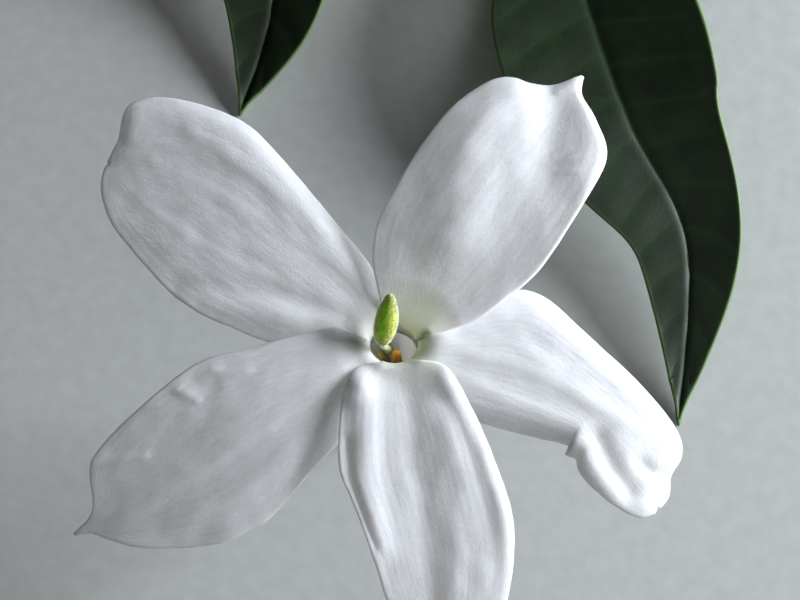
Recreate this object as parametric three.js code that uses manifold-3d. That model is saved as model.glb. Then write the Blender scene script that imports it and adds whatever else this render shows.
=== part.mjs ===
// A cut sprig of common jasmine that lies on a table: one open white flower held upright on its
// stalk, the green stem that it grew from, and the pair of pinnate leaves at the stem's node.
// Millimetres, +Z up. The origin is on the table, under the middle of the sprig's footprint.
import * as THREE from "three";
import { mergeVertices } from "three/addons/utils/BufferGeometryUtils.js";
import Module from "manifold-3d";

// Where the flower's axis stands, measured from the origin.
const FLOWER_AXIS = { x: -4.32, y: -35.153 };

// Heights above the table, and radii, of the flower's parts.
const MOUTH_Z = 26;
const TUBE_FOOT_Z = 10.4;
const CALYX_FOOT_Z = 8.8;
const PEDICEL_TOP_Z = 8.5;
const PETAL_ROOT = { out: 1.95, half: 1.3 };

// The thinnest solid sheet, which stands for petals of 0.3 mm and leaves of 0.25 mm.
const SHEET = 0.6;

// The stem lies along the table on a narrow flat.
const STEM_FLAT = 0.18;
const STEM_CUT_RADIUS = 1.35;
const STEM_TIP_RADIUS = 0.8;
const NODE = { x: 2.5, y: 69, swelling: 0.35, length: 1.6 };

const vector2 = ([x, y]) => new THREE.Vector2(x, y);
const vector3 = ([x, y, z]) => new THREE.Vector3(x, y, z);
const radians = THREE.MathUtils.degToRad;

// A smooth run through evenly spaced values, read at t from 0 to 1.
function along(values) {
  const line = new THREE.SplineCurve(values.map((value, i) => new THREE.Vector2(i, value)));
  return (t) => line.getPoint(THREE.MathUtils.clamp(t, 0, 1)).y;
}

// A closed tube along a curve. radius(t) and section(angle, t) shape it, and floor is the lowest
// height that it may reach, where it gets a flat.
function sweptGeometry({ curve, radius, steps, sides, section = () => 1, floor = -Infinity }) {
  const frames = curve.computeFrenetFrames(steps, false);
  const positions = [];
  const push = (p) => positions.push(p.x, p.y, Math.max(p.z, floor)) / 3 - 1;
  const rings = [];
  for (let i = 0; i <= steps; i++) {
    const t = i / steps;
    const centre = curve.getPointAt(t);
    const ring = [];
    for (let j = 0; j < sides; j++) {
      const angle = (j / sides) * 2 * Math.PI;
      const reach = radius(t) * section(angle, t);
      const corner = centre
        .clone()
        .addScaledVector(frames.normals[i], reach * Math.cos(angle))
        .addScaledVector(frames.binormals[i], reach * Math.sin(angle));
      ring.push(push(corner));
    }
    rings.push(ring);
  }
  const first = push(curve.getPointAt(0));
  const last = push(curve.getPointAt(1));
  const index = [];
  for (let j = 0; j < sides; j++) {
    const k = (j + 1) % sides;
    for (let i = 0; i < steps; i++) {
      const [a, b, c, d] = [rings[i][j], rings[i][k], rings[i + 1][k], rings[i + 1][j]];
      index.push(a, b, d, b, c, d);
    }
    index.push(first, rings[0][k], rings[0][j]);
    index.push(last, rings[steps][j], rings[steps][k]);
  }
  return new THREE.BufferGeometry()
    .setAttribute("position", new THREE.Float32BufferAttribute(positions, 3))
    .setIndex(index);
}

// A closed thin blade round the sheet at(u, v): u runs from its root to its point, and v from
// 1 at its left edge to -1 at its right. rib is how far the middle stands out underneath.
function bladeGeometry({ at, rows, columns, rib = 0, floor = -Infinity }) {
  const grid = [];
  for (let i = 0; i <= rows; i++) {
    const row = [];
    for (let j = 0; j <= columns; j++) row.push(at(i / rows, 1 - (2 * j) / columns));
    grid.push(row);
  }
  const positions = [];
  const push = (p) => positions.push(p.x, p.y, Math.max(p.z, floor)) / 3 - 1;
  const normalAt = (i, j) => {
    const near = (a, most) => THREE.MathUtils.clamp(a, 0, most);
    const row = Math.min(i, rows - 1);
    const ahead = grid[row + 1][j].clone().sub(grid[near(row - 1, rows)][j]);
    const across = grid[row][near(j - 1, columns)].clone().sub(grid[row][near(j + 1, columns)]);
    return ahead.cross(across).normalize();
  };
  const face = (side) =>
    grid.map((row, i) => {
      const joined = i === rows;
      const middle = columns / 2;
      return row.map((point, j) => {
        if (joined && j > 0) return undefined;
        const column = joined ? middle : j;
        const extra = side < 0 && column === middle ? rib * (1 - i / rows) : 0;
        const offset = side * (SHEET / 2 + extra);
        return push(grid[i][column].clone().addScaledVector(normalAt(i, column), offset));
      });
    });
  const top = face(1);
  const bottom = face(-1);
  const index = [];
  const last = rows - 1;
  const [tipTop, tipBottom] = [top[rows][0], bottom[rows][0]];
  for (let j = 0; j < columns; j++) {
    for (let i = 0; i < last; i++) {
      const quad = (f) => [f[i][j], f[i][j + 1], f[i + 1][j], f[i + 1][j + 1]];
      const [a, b, c, d] = quad(top);
      const [e, f, g, h] = quad(bottom);
      index.push(a, b, c, b, d, c, e, g, f, f, g, h);
    }
    index.push(top[last][j], top[last][j + 1], tipTop);
    index.push(bottom[last][j], tipBottom, bottom[last][j + 1]);
    index.push(top[0][j], bottom[0][j], top[0][j + 1]);
    index.push(bottom[0][j], bottom[0][j + 1], top[0][j + 1]);
  }
  for (let i = 0; i < last; i++) {
    const [a, b, c, d] = [top[i][0], top[i + 1][0], bottom[i][0], bottom[i + 1][0]];
    const [e, f] = [top[i][columns], top[i + 1][columns]];
    const [g, h] = [bottom[i][columns], bottom[i + 1][columns]];
    index.push(a, b, c, b, d, c, e, g, f, f, g, h);
  }
  index.push(top[last][0], tipTop, bottom[last][0], tipTop, tipBottom, bottom[last][0]);
  index.push(top[last][columns], bottom[last][columns], tipTop);
  index.push(tipTop, bottom[last][columns], tipBottom);
  return new THREE.BufferGeometry()
    .setAttribute("position", new THREE.Float32BufferAttribute(positions, 3))
    .setIndex(index);
}

const wasm = await Module();
wasm.setup();

// A geometry as a solid that can be joined or cut, and back again.
function solidOf(geometry) {
  const bare = geometry.clone();
  bare.deleteAttribute("normal");
  bare.deleteAttribute("uv");
  const merged = mergeVertices(bare, 1e-3);
  return new wasm.Manifold(
    new wasm.Mesh({
      numProp: 3,
      vertProperties: merged.attributes.position.array,
      triVerts: new Uint32Array(merged.index.array),
    }),
  );
}

function geometryOf(solid) {
  const mesh = solid.getMesh();
  const geometry = new THREE.BufferGeometry()
    .setAttribute("position", new THREE.Float32BufferAttribute(mesh.vertProperties, 3))
    .setIndex(new THREE.Uint32BufferAttribute(mesh.triVerts, 1));
  geometry.computeVertexNormals();
  return geometry;
}

const joined = (geometries) =>
  geometryOf(geometries.map(solidOf).reduce((whole, piece) => whole.add(piece)));

// A petal's outline is given from above, in a frame of its own: how far out from the flower's axis,
// and how far to the left. All five share one width at the root. azimuth turns a petal into place.
// rise is its height over the mouth at every 5 mm outwards, crown is how far its edges lie below its
// middle, leftRoll and rightRoll how far the last of each edge turns down, and ribs the height of
// the long soft ribs.
const RISE_STEP = 5;
const ROLL_STARTS = 0.5;
const PETALS = [
  {
    azimuth: 143,
    left: [[3.5, 2.8], [6, 4.5], [9.8, 5.6], [14.5, 5.6], [18.6, 4.7], [21.4, 2.8], [22.5, 1.1]],
    middle: [[8, 0.3], [15, 0.1]],
    right: [
      [4.7, -3.1], [8.5, -4.2], [13.8, -5.6], [18.2, -5.7], [21.8, -4.4], [23.3, -2.4], [23, -0.9],
    ],
    tip: [22.5, 0.1],
    rise: [-0.35, 0, 0.2, 0.3, 0.2, 0.4],
    crown: 0.2,
    leftRoll: -0.5,
    rightRoll: 0.5,
    ribs: 0.12,
  },
  {
    azimuth: 55,
    left: [[2.6, 3.6], [4.3, 4.9], [6.7, 5.7], [12.3, 6.1], [17.1, 5.3], [18.7, 4], [19.6, 2.2]],
    middle: [[8, 0.6], [15, 0.7]],
    right: [[3.6, -3.2], [6, -4.1], [9, -4.8], [14.3, -4.5], [17.5, -3.8], [19.2, -1.9], [20.3, -0.1]],
    tip: [21.5, 0.6],
    rise: [-0.1, 0.9, 1.4, 1.4, 1.1, 1.2],
    crown: 0.5,
    leftRoll: 0.2,
    rightRoll: -0.7,
    ribs: 0.06,
  },
  {
    azimuth: -22,
    left: [
      [2.6, 3.6], [4.7, 6], [7, 6.7], [10.3, 5.5], [15.1, 3.8], [18.2, 2.2], [19.1, 0.4], [19.2, -1.2],
    ],
    middle: [[7, 1.9], [12, 1.5], [16, 0.1]],
    right: [
      [3.5, -2.3], [6.4, -2.4], [9.9, -1.9], [11.9, -1.8], [12.6, -2.5], [14.3, -3.4], [16.3, -4],
      [18, -3.9],
    ],
    tip: [19.1, -2.9],
    rise: [-0.4, -0.4, -0.8, -1.8, -3.7, -6],
    crown: 0.5,
    leftRoll: 0.4,
    rightRoll: 0.7,
    ribs: 0.12,
  },
  {
    azimuth: -82,
    left: [[2.1, 2.5], [3.6, 3.4], [6.7, 4.3], [11.5, 5.3], [14.5, 5.1], [17.5, 4.1], [19.3, 2.3]],
    middle: [[8, 0.1], [14, 0.6]],
    right: [[2, -2.9], [3.6, -4], [7.5, -4.8], [10.5, -4.2], [13.6, -3.5], [16.5, -2.9], [18.8, -1.5]],
    tip: [20, 0.4],
    rise: [-0.1, 1.1, 0.8, -0.3, -2, -4],
    crown: 0.6,
    leftRoll: 0.5,
    rightRoll: 0.6,
    ribs: 0.1,
  },
  {
    azimuth: 212,
    left: [[5.1, 2.1], [6.4, 3.2], [9, 4], [12.9, 5.3], [16, 4.9], [19.2, 3.3], [21.2, 1.2], [22.2, 0]],
    middle: [[9, -0.3], [16, -0.2]],
    right: [
      [3, -3.1], [5, -3.6], [8.3, -4.5], [11.5, -5.4], [16.5, -4.9], [19.7, -4.1], [20.9, -2.4],
      [21.7, -1.4],
    ],
    tip: [23.3, -0.7],
    rise: [-0.2, 0.5, 0.7, 0.4, 0, -0.4],
    crown: 0.3,
    leftRoll: 0.2,
    rightRoll: 0.5,
    ribs: 0.1,
  },
];
const PETAL_ROWS = 16;
const PETAL_COLUMNS = 10;
const RIBS_ACROSS = 3;

function petalGeometry(petal) {
  const line = (points, side) => {
    const root = [PETAL_ROOT.out, side * PETAL_ROOT.half];
    return new THREE.SplineCurve([root, ...points, petal.tip].map(vector2));
  };
  const left = line(petal.left, 1);
  const middle = line(petal.middle, 0);
  const right = line(petal.right, -1);
  const rise = along(petal.rise);
  const reach = RISE_STEP * (petal.rise.length - 1);
  const turn = radians(petal.azimuth);
  const at = (u, v) => {
    const [l, m, r] = [left.getPointAt(u), middle.getPointAt(u), right.getPointAt(u)];
    const flat = m
      .clone()
      .addScaledVector(l.clone().sub(r), v / 2)
      .addScaledVector(l.clone().add(r).multiplyScalar(0.5).sub(m), v * v);
    const body = Math.sin(Math.PI * Math.min(1, u + 0.05 + u * 0.1));
    const past = Math.max(0, (Math.abs(v) - ROLL_STARTS) / (1 - ROLL_STARTS));
    const roll = (v > 0 ? petal.leftRoll : petal.rightRoll) * past * past;
    const ribs = petal.ribs * Math.cos(RIBS_ACROSS * Math.PI * v);
    const height = rise(flat.x / reach) + body * (ribs - petal.crown * v * v - roll);
    return new THREE.Vector3(
      flat.x * Math.cos(turn) - flat.y * Math.sin(turn),
      flat.x * Math.sin(turn) + flat.y * Math.cos(turn),
      MOUTH_Z - SHEET / 2 + height,
    );
  };
  return bladeGeometry({ at, rows: PETAL_ROWS, columns: PETAL_COLUMNS });
}

// The tube from its foot in the calyx to its mouth, where the petals leave it: radius and height.
const TUBE_OUTSIDE = [
  [0.95, TUBE_FOOT_Z], [1, 13], [1.05, 17], [1.2, 20], [1.55, 22.5], [1.9, 24.3], [2.2, 25.3], [2.5, 25.9],
];
const TUBE_INSIDE = [
  [2.05, MOUTH_Z], [1.75, 25.5], [1.5, 24.5], [1.15, 22.5], [0.78, 20], [0.62, 17], [0.58, 13],
  [0.56, TUBE_FOOT_Z],
];
const ROUND_SIDES = 20;

function lathe(profile) {
  const closed = [...profile, profile[0]].map(vector2);
  return new THREE.LatheGeometry(closed, ROUND_SIDES).rotateX(Math.PI / 2);
}

function corollaGeometry() {
  return joined([lathe([...TUBE_OUTSIDE, ...TUBE_INSIDE]), ...PETALS.map(petalGeometry)]);
}

// The pistil: the ovary at the tube's foot, a thread-like style, and the green stigma that leans
// out of the mouth. The stigma is two narrow lobes pressed together, so a groove runs along it.
const PISTIL_LINE = [
  [0, 0, 10.8], [0, 0, 14], [0, 0.05, 19], [-0.08, 0.1, 22.2], [-0.5, 0.02, 24.4], [-0.9, -0.05, 26],
  [-0.68, 1.1, 27.5], [-0.45, 2.3, 28.75],
];
const OVARY = { radius: 0.4, share: 0.06 };
const STYLE_RADIUS = 0.2;
const STIGMA = { from: 0.8, radius: 0.74, groove: 0.22, grooveWidth: 0.22 };
const STIGMA_PROFILE = along([0.2, 0.62, 0.86, 0.97, 1, 0.94, 0.78, 0.2]);

function pistilGeometry() {
  const radius = (t) => {
    const foot = (OVARY.radius - STYLE_RADIUS) * Math.exp(-((t / OVARY.share) ** 2));
    const s = (t - STIGMA.from) / (1 - STIGMA.from);
    const lobes = s > 0 ? STIGMA.radius * STIGMA_PROFILE(s) : 0;
    return Math.max(STYLE_RADIUS + foot, lobes);
  };
  const section = (angle, t) => {
    if (t < STIGMA.from) return 1;
    const across = Math.sin((angle - Math.PI) / 2) / STIGMA.grooveWidth;
    return 1 - STIGMA.groove * Math.exp(-(across ** 2));
  };
  const curve = new THREE.CatmullRomCurve3(PISTIL_LINE.map(vector3));
  return sweptGeometry({ curve, radius, section, steps: 34, sides: 12 });
}

// A stamen: a slim two-lobed anther just inside the mouth, on a short filament down the tube's wall.
// Each line runs from the filament's foot through the anther's foot to its top.
const STAMEN_FRONT = [[0, -0.58, 20.8], [0.04, -0.66, 22.4], [-0.02, -0.44, 24.7]];
const STAMEN_LEFT = [[-0.57, -0.08, 20.8], [-0.68, -0.13, 22.4], [-1.12, -0.27, 24.5]];
const FILAMENT = { share: 0.4, radius: 0.1 };
const ANTHER = { radius: 0.28, flatness: 0.14 };
const ANTHER_PROFILE = along([0.3, 0.75, 0.95, 1, 0.95, 0.75, 0.3]);

function stamenGeometry(line) {
  const radius = (t) => {
    const s = (t - FILAMENT.share) / (1 - FILAMENT.share);
    return s > 0 ? Math.max(FILAMENT.radius, ANTHER.radius * ANTHER_PROFILE(s)) : FILAMENT.radius;
  };
  const section = (angle) => 1 - ANTHER.flatness * Math.cos(2 * angle);
  const curve = new THREE.CatmullRomCurve3(line.map(vector3));
  return sweptGeometry({ curve, radius, section, steps: 14, sides: 8 });
}

// The calyx: a small green cup round the tube's foot, with five thread-like teeth. Every second
// tooth curls further out.
const CUP_OUTSIDE = [[0.75, CALYX_FOOT_Z], [1.3, 9.3], [1.6, 10.2], [1.7, 11.4], [1.75, 12.2]];
const CUP_INSIDE = [[1.4, 12.2], [1.3, 11.2], [1.25, 10.1], [0, 10.1]];
const TEETH = 5;
const FIRST_TOOTH = radians(20);
const TOOTH = { footOut: 1.57, footZ: 11.2, length: 6.4, radius: 0.36, taper: 0.8, lean: 0.34 };
const TOOTH_CURLS = [0.36, 0.9];

function toothGeometry(k) {
  const turn = FIRST_TOOTH + (k / TEETH) * 2 * Math.PI;
  const line = [0, 0.35, 0.7, 1].map((s) => {
    const out = TOOTH.footOut + TOOTH.length * TOOTH.lean * s + TOOTH_CURLS[k % 2] * s * s;
    return new THREE.Vector3(out * Math.cos(turn), out * Math.sin(turn), TOOTH.footZ + TOOTH.length * s);
  });
  const radius = (t) => TOOTH.radius * (1 - TOOTH.taper * t);
  return sweptGeometry({ curve: new THREE.CatmullRomCurve3(line), radius, steps: 5, sides: 6 });
}

function calyxGeometry() {
  const profile = [[0, CALYX_FOOT_Z], ...CUP_OUTSIDE, ...CUP_INSIDE].map(vector2);
  const cup = new THREE.LatheGeometry(profile, ROUND_SIDES).rotateX(Math.PI / 2);
  const teeth = Array.from({ length: TEETH }, (_, k) => toothGeometry(k));
  return joined([cup, ...teeth]);
}

// The flower's own stalk, from the stem's upturned end to the calyx.
const PEDICEL_LINE = [[0.13, 2.34, 3.0], [0.1, 1.3, 4.5], [0, 0.3, 6.2], [0, 0, PEDICEL_TOP_Z]];
const PEDICEL_RADIUS = along([0.5, 0.45, 0.48, 0.62]);

function pedicelGeometry() {
  const curve = new THREE.CatmullRomCurve3(PEDICEL_LINE.map(vector3));
  return sweptGeometry({ curve, radius: PEDICEL_RADIUS, steps: 8, sides: 10 });
}

// The stem: where it runs on the table, from the cut end to the upturned end under the flower.
const STEM_LINE = [
  [0.5, 90], [1.6, 80], [2.5, 69], [5.6, 56], [8.9, 43], [9.2, 31], [6.2, 19], [2.4, 9.5], [0.7, 5.4],
];
const STEM_END = [0.15, 2.6, 2.7];
const STEM_RIDGES = 4;
const RIDGE = 0.06;
const STEM_STEPS = 44;
const STEM_SIDES = 16;

function stemRadius(t) {
  return STEM_CUT_RADIUS + (STEM_TIP_RADIUS - STEM_CUT_RADIUS) * t;
}

function stemGeometry() {
  const flat = STEM_LINE.map(([x, y], i) => {
    const t = i / STEM_LINE.length;
    return new THREE.Vector3(x, y, stemRadius(t) - STEM_FLAT);
  });
  const curve = new THREE.CatmullRomCurve3([...flat, vector3(STEM_END)]);
  const radius = (t) => {
    const point = curve.getPointAt(t);
    const away = Math.hypot(point.x - NODE.x, point.y - NODE.y);
    return stemRadius(t) + NODE.swelling * Math.exp(-((away / NODE.length) ** 2));
  };
  const section = (angle) => 1 + RIDGE * Math.cos(STEM_RIDGES * angle);
  return sweptGeometry({ curve, radius, section, steps: STEM_STEPS, sides: STEM_SIDES, floor: 0 });
}

// Half a leaflet's width from its root to its point, as a share of its widest: ovate, long-pointed.
const OVATE = along([0.1, 0.62, 0.93, 1, 0.92, 0.72, 0.49, 0.34, 0.17, 0]);
const LEAFLET_FOLD = 0.16;
const LEAFLET_BEND = radians(14);
const WAVES = 1.7;
const WAVE_HEIGHT = 0.25;
const WAVE_SHIFT = 0.3;
const MIDRIB = 0.3;
const LEAF_STALK_RADIUS = along([0.62, 0.42]);

// A leaflet along a middle line on the table's plane. heights are those of its root, middle and
// point. The fold along the middle lifts both edges, tilt leans the blade sideways, and curl turns
// up the right half more and more towards the point.
function leafletGeometry({ line, halfWidth, heights, tilt = 0, curl = 0, rows, columns }) {
  const middle = new THREE.SplineCurve(line.map(vector2));
  const height = along(heights);
  const at = (u, v) => {
    const m = middle.getPointAt(u);
    const ahead = middle.getTangentAt(u);
    const out = halfWidth * OVATE(u) * v;
    const phase = 2 * Math.PI * (WAVES * u + WAVE_SHIFT * Math.sign(v));
    const ripple = WAVE_HEIGHT * Math.sin(phase) * v * v * Math.sin(Math.PI * u);
    const fold = LEAFLET_FOLD + (v < 0 ? curl * u * u : 0);
    const lift = fold * Math.abs(out) + tilt * out + ripple;
    return new THREE.Vector3(m.x - ahead.y * out, m.y + ahead.x * out, height(u) + lift);
  };
  return bladeGeometry({ at, rows, columns, rib: MIDRIB, floor: 0 });
}

// A pinnate leaf: its stalk, pairs of side leaflets along it, and the larger end leaflet.
function leafGeometry(leaf) {
  const stalk = new THREE.CatmullRomCurve3(leaf.stalk.map(vector3));
  const swept = { curve: stalk, radius: LEAF_STALK_RADIUS, steps: 22, sides: 8, floor: 0 };
  const pieces = [sweptGeometry(swept)];
  for (const pair of leaf.pairs) {
    const root = stalk.getPointAt(pair.at);
    const ahead = stalk.getTangentAt(pair.at);
    for (const [side, half] of [[1, pair.left], [-1, pair.right]]) {
      const way = Math.atan2(ahead.y, ahead.x) + side * radians(half.spread);
      const bend = way - side * LEAFLET_BEND;
      const reach = half.length / 2;
      const middle = [root.x + reach * Math.cos(way), root.y + reach * Math.sin(way)];
      const point = [middle[0] + reach * Math.cos(bend), middle[1] + reach * Math.sin(bend)];
      const heights = [root.z, root.z + pair.arch, half.tip];
      const line = [[root.x, root.y], middle, point];
      const halfWidth = pair.width / 2;
      pieces.push(leafletGeometry({ line, halfWidth, heights, rows: 10, columns: 6 }));
    }
  }
  const end = stalk.getPointAt(1);
  const line = [[end.x, end.y], ...leaf.end.line];
  const heights = [end.z, ...leaf.end.heights];
  const { halfWidth, tilt, curl } = leaf.end;
  pieces.push(leafletGeometry({ line, halfWidth, heights, tilt, curl, rows: 16, columns: 8 }));
  return joined(pieces);
}

// The two leaves of the node. A pair of leaflets sits at a share of its leaf's stalk, and spread is
// the angle in degrees that each leaflet makes with the stalk. arch is the rise to its middle, and
// tip the height of its point over the table.
const LEFT_LEAF = {
  stalk: [[0.55, 69.3, 1.7], [-3.8, 67.8, 3.4], [-8.4, 62.8, 4.6], [-10.6, 56.8, 4.8], [-10.6, 51, 4.4]],
  pairs: [
    {
      at: 0.54,
      width: 6.8,
      arch: 0.6,
      left: { length: 16, spread: 44, tip: 0.3 },
      right: { length: 13, spread: 54, tip: 0.6 },
    },
    {
      at: 0.84,
      width: 7.6,
      arch: 0.4,
      left: { length: 19, spread: 42, tip: 0.3 },
      right: { length: 16, spread: 50, tip: 0.5 },
    },
  ],
  end: {
    line: [[-9.8, 42], [-8.8, 32.6], [-11.2, 24.6]],
    halfWidth: 6.9,
    heights: [3.6, 2.4, 0.3],
    tilt: 0.12,
    curl: 0.25,
  },
};
const RIGHT_LEAF = {
  stalk: [
    [4.45, 69.3, 1.7], [9.4, 67.6, 3.8], [13.6, 62.4, 5.8], [14.8, 54.6, 6.4], [13.2, 46.8, 6.2],
    [11, 40.6, 5.8],
  ],
  pairs: [
    {
      at: 0.37,
      width: 6.8,
      arch: 0.8,
      left: { length: 18, spread: 52, tip: 0.3 },
      right: { length: 14, spread: 54, tip: 4.2 },
    },
    {
      at: 0.6,
      width: 7.6,
      arch: 0.8,
      left: { length: 20, spread: 56, tip: 0.3 },
      right: { length: 18, spread: 56, tip: 4 },
    },
    {
      at: 0.83,
      width: 7.4,
      arch: 0.5,
      left: { length: 16, spread: 62, tip: 0.3 },
      right: { length: 18, spread: 60, tip: 3.6 },
    },
  ],
  end: {
    line: [[13.1, 31.3], [16, 22.6], [20.3, 14.2], [19.3, 1.9]],
    halfWidth: 7.25,
    heights: [5.2, 4.2, 2.4, 0.3],
    tilt: 0.1,
    curl: 0.45,
  },
};

const finish = (color, roughness) => new THREE.MeshStandardMaterial({ color, roughness, metalness: 0 });
const PETAL_WHITE = finish(0xf3f3f6, 0.55);
const STIGMA_GREEN = finish(0x9bc52a, 0.6);
const ANTHER_ORANGE = finish(0xd98a2b, 0.7);
const CALYX_GREEN = finish(0x5f7f3a, 0.55);
const STEM_GREEN = finish(0x4c6b32, 0.6);
const LEAF_GREEN = finish(0x1f3d1e, 0.35);

const sprig = new THREE.Group();
sprig.position.set(FLOWER_AXIS.x, FLOWER_AXIS.y, 0);
const add = (name, geometry, material) => {
  const mesh = new THREE.Mesh(geometry, material);
  mesh.name = name;
  sprig.add(mesh);
};
add("corolla", corollaGeometry(), PETAL_WHITE);
add("pistil", pistilGeometry(), STIGMA_GREEN);
add("stamen_front", stamenGeometry(STAMEN_FRONT), ANTHER_ORANGE);
add("stamen_left", stamenGeometry(STAMEN_LEFT), ANTHER_ORANGE);
add("calyx", calyxGeometry(), CALYX_GREEN);
add("pedicel", pedicelGeometry(), STEM_GREEN);
add("stem", stemGeometry(), STEM_GREEN);
add("leaf_left", leafGeometry(LEFT_LEAF), LEAF_GREEN);
add("leaf_right", leafGeometry(RIGHT_LEAF), LEAF_GREEN);

const part = new THREE.Group();
part.add(sprig);
export default part;
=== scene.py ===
"""A cut sprig of common jasmine on a pale table: the finish of its flower, stem and leaves.

Lengths are in millimetres and start from the flower's axis and the table's top. They become metres
where a mesh, a lamp or the camera is made.
"""

import math

import bpy
import numpy as np
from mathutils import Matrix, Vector, noise


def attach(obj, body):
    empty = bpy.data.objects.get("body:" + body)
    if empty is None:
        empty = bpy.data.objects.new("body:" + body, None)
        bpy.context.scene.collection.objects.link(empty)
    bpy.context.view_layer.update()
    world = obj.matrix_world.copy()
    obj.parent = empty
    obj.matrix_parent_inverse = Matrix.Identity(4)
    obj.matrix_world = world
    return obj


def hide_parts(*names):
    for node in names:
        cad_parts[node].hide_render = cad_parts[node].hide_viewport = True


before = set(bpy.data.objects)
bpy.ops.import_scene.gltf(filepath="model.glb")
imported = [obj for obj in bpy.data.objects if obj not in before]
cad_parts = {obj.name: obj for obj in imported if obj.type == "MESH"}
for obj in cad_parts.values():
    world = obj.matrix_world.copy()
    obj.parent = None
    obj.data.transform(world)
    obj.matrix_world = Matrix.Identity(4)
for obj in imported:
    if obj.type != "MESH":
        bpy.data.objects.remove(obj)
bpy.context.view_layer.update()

MM = 0.001
FULL_TURN = 2 * math.pi
radians = math.radians
FOOT_HEIGHT = 0.1


def flower_axis():
    """Where the flower's axis stands: the middle of the foot of its tube."""
    points = np.array([v.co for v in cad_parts["corolla"].data.vertices]) / MM
    foot = points[points[:, 2] < points[:, 2].min() + FOOT_HEIGHT]
    return (foot.min(axis=0) + foot.max(axis=0))[:2] / 2


AXIS_X, AXIS_Y = flower_axis()
MOUTH_Z = 26.0


def placed(name, data):
    """A new object in the scene."""
    made = bpy.data.objects.new(name, data)
    bpy.context.scene.collection.objects.link(made)
    return made


# Camera. It looks down on the open flower from the front, as the photograph does.
CAMERA_ELEVATION = radians(72)
CAMERA_DISTANCE = 260.0
SENSOR_WIDTH = 36.0
PHOTO_SIZE = (800, 600)
PIXELS_PER_MM = 16.0
MOUTH_PIXEL = (398, 342)
TO_CAMERA = np.array([0.0, -math.cos(CAMERA_ELEVATION), math.sin(CAMERA_ELEVATION)])
CAMERA_UP = np.array([0.0, math.sin(CAMERA_ELEVATION), math.cos(CAMERA_ELEVATION)])
CAMERA_RIGHT = np.array([1.0, 0.0, 0.0])


def make_camera():
    mouth = np.array([AXIS_X, AXIS_Y, MOUTH_Z])
    above = (MOUTH_PIXEL[1] - PHOTO_SIZE[1] / 2) / PIXELS_PER_MM
    aside = (PHOTO_SIZE[0] / 2 - MOUTH_PIXEL[0]) / PIXELS_PER_MM
    place = mouth + TO_CAMERA * CAMERA_DISTANCE + CAMERA_UP * above + CAMERA_RIGHT * aside
    data = bpy.data.cameras.new("camera")
    data.sensor_width = SENSOR_WIDTH
    data.lens = SENSOR_WIDTH * PIXELS_PER_MM * CAMERA_DISTANCE / PHOTO_SIZE[0]
    data.clip_start = 0.01
    data.clip_end = 10.0
    camera = placed("camera", data)
    camera.location = place * MM
    camera.rotation_euler = (math.pi / 2 - CAMERA_ELEVATION, 0, 0)
    bpy.context.scene.camera = camera


# Lines and profiles.
SPAN_STEPS = 24
RELIEF_STEPS = 90
SEED_SHIFT = (17.3, 5.1, 9.7)


def curve(points, count, knot=0.5):
    """Evenly spaced points on the smooth line through the given ones.

    knot 0.5 rounds a line in space gently, and knot 0 is for flat outlines.
    """
    p = np.asarray(points, float)
    first, last = (p[0], p[-1]) if knot == 0 else (2 * p[0] - p[1], 2 * p[-1] - p[-2])
    p = np.vstack([first, p, last])
    share = np.linspace(0, 1, SPAN_STEPS, endpoint=False)[:, None]
    fine = []
    for a, b, c, d in zip(p[:-3], p[1:-2], p[2:-1], p[3:]):
        t1 = np.linalg.norm(b - a) ** knot
        t2 = t1 + np.linalg.norm(c - b) ** knot
        t3 = t2 + np.linalg.norm(d - c) ** knot
        t = t1 + share * (t2 - t1)
        ab = a + (b - a) * t / t1
        bc = b + (c - b) * (t - t1) / (t2 - t1)
        cd = c + (d - c) * (t - t2) / (t3 - t2)
        abc = ab + (bc - ab) * t / t2
        bcd = bc + (cd - bc) * (t - t1) / (t3 - t1)
        fine.append(abc + (bcd - abc) * (t - t1) / (t2 - t1))
    fine = np.vstack([*fine, p[-2]])
    run = np.append(0, np.cumsum(np.linalg.norm(np.diff(fine, axis=0), axis=1)))
    even = np.linspace(0, run[-1], count)
    return np.stack([np.interp(even, run, fine[:, k]) for k in range(fine.shape[1])], axis=1)


def read(line, share):
    """Points of an evenly spaced flat line, at shares from 0 to 1 of its length."""
    at = np.linspace(0, 1, len(line))
    return np.stack([np.interp(share, at, line[:, k]) for k in range(2)], axis=-1)


def along(values, share):
    """A smooth run through evenly spaced values, read at shares from 0 to 1."""
    v = np.asarray(values, float)
    v = np.concatenate([v[:1], v, v[-1:]])
    x = np.clip(share, 0, 1) * (len(values) - 1)
    i = np.minimum(x.astype(int), len(values) - 2)
    f = x - i
    a, b, c, d = v[i], v[i + 1], v[i + 2], v[i + 3]
    return b + 0.5 * f * (c - a + f * (2 * a - 5 * b + 4 * c - d + f * (3 * (b - c) + d - a)))


def eased(value, low, high):
    """0 below low, 1 above high, and a soft step between."""
    t = np.clip((value - low) / (high - low), 0, 1)
    return t * t * (3 - 2 * t)


def bell(distance, width):
    """1 in the middle, and soft down to almost 0 at twice the width."""
    return np.exp(-((distance / width) ** 2))


def around(sides):
    """Evenly spaced angles, once round."""
    return np.linspace(0, FULL_TURN, sides, endpoint=False)


def together(*parts):
    """Points from their three parts, each a single number, a row, a column or a grid."""
    return np.stack(np.broadcast_arrays(*parts), axis=-1)


def unit(vectors):
    """The same directions with length 1."""
    return vectors / np.maximum(np.linalg.norm(vectors, axis=-1, keepdims=True), 1e-9)


def away_from(flat, points):
    """Distance in plan from each point of a grid to a line."""
    gap = flat[..., None, :] - curve(points, RELIEF_STEPS, 0)
    return np.sqrt((gap ** 2).sum(axis=-1)).min(axis=-1)


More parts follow.
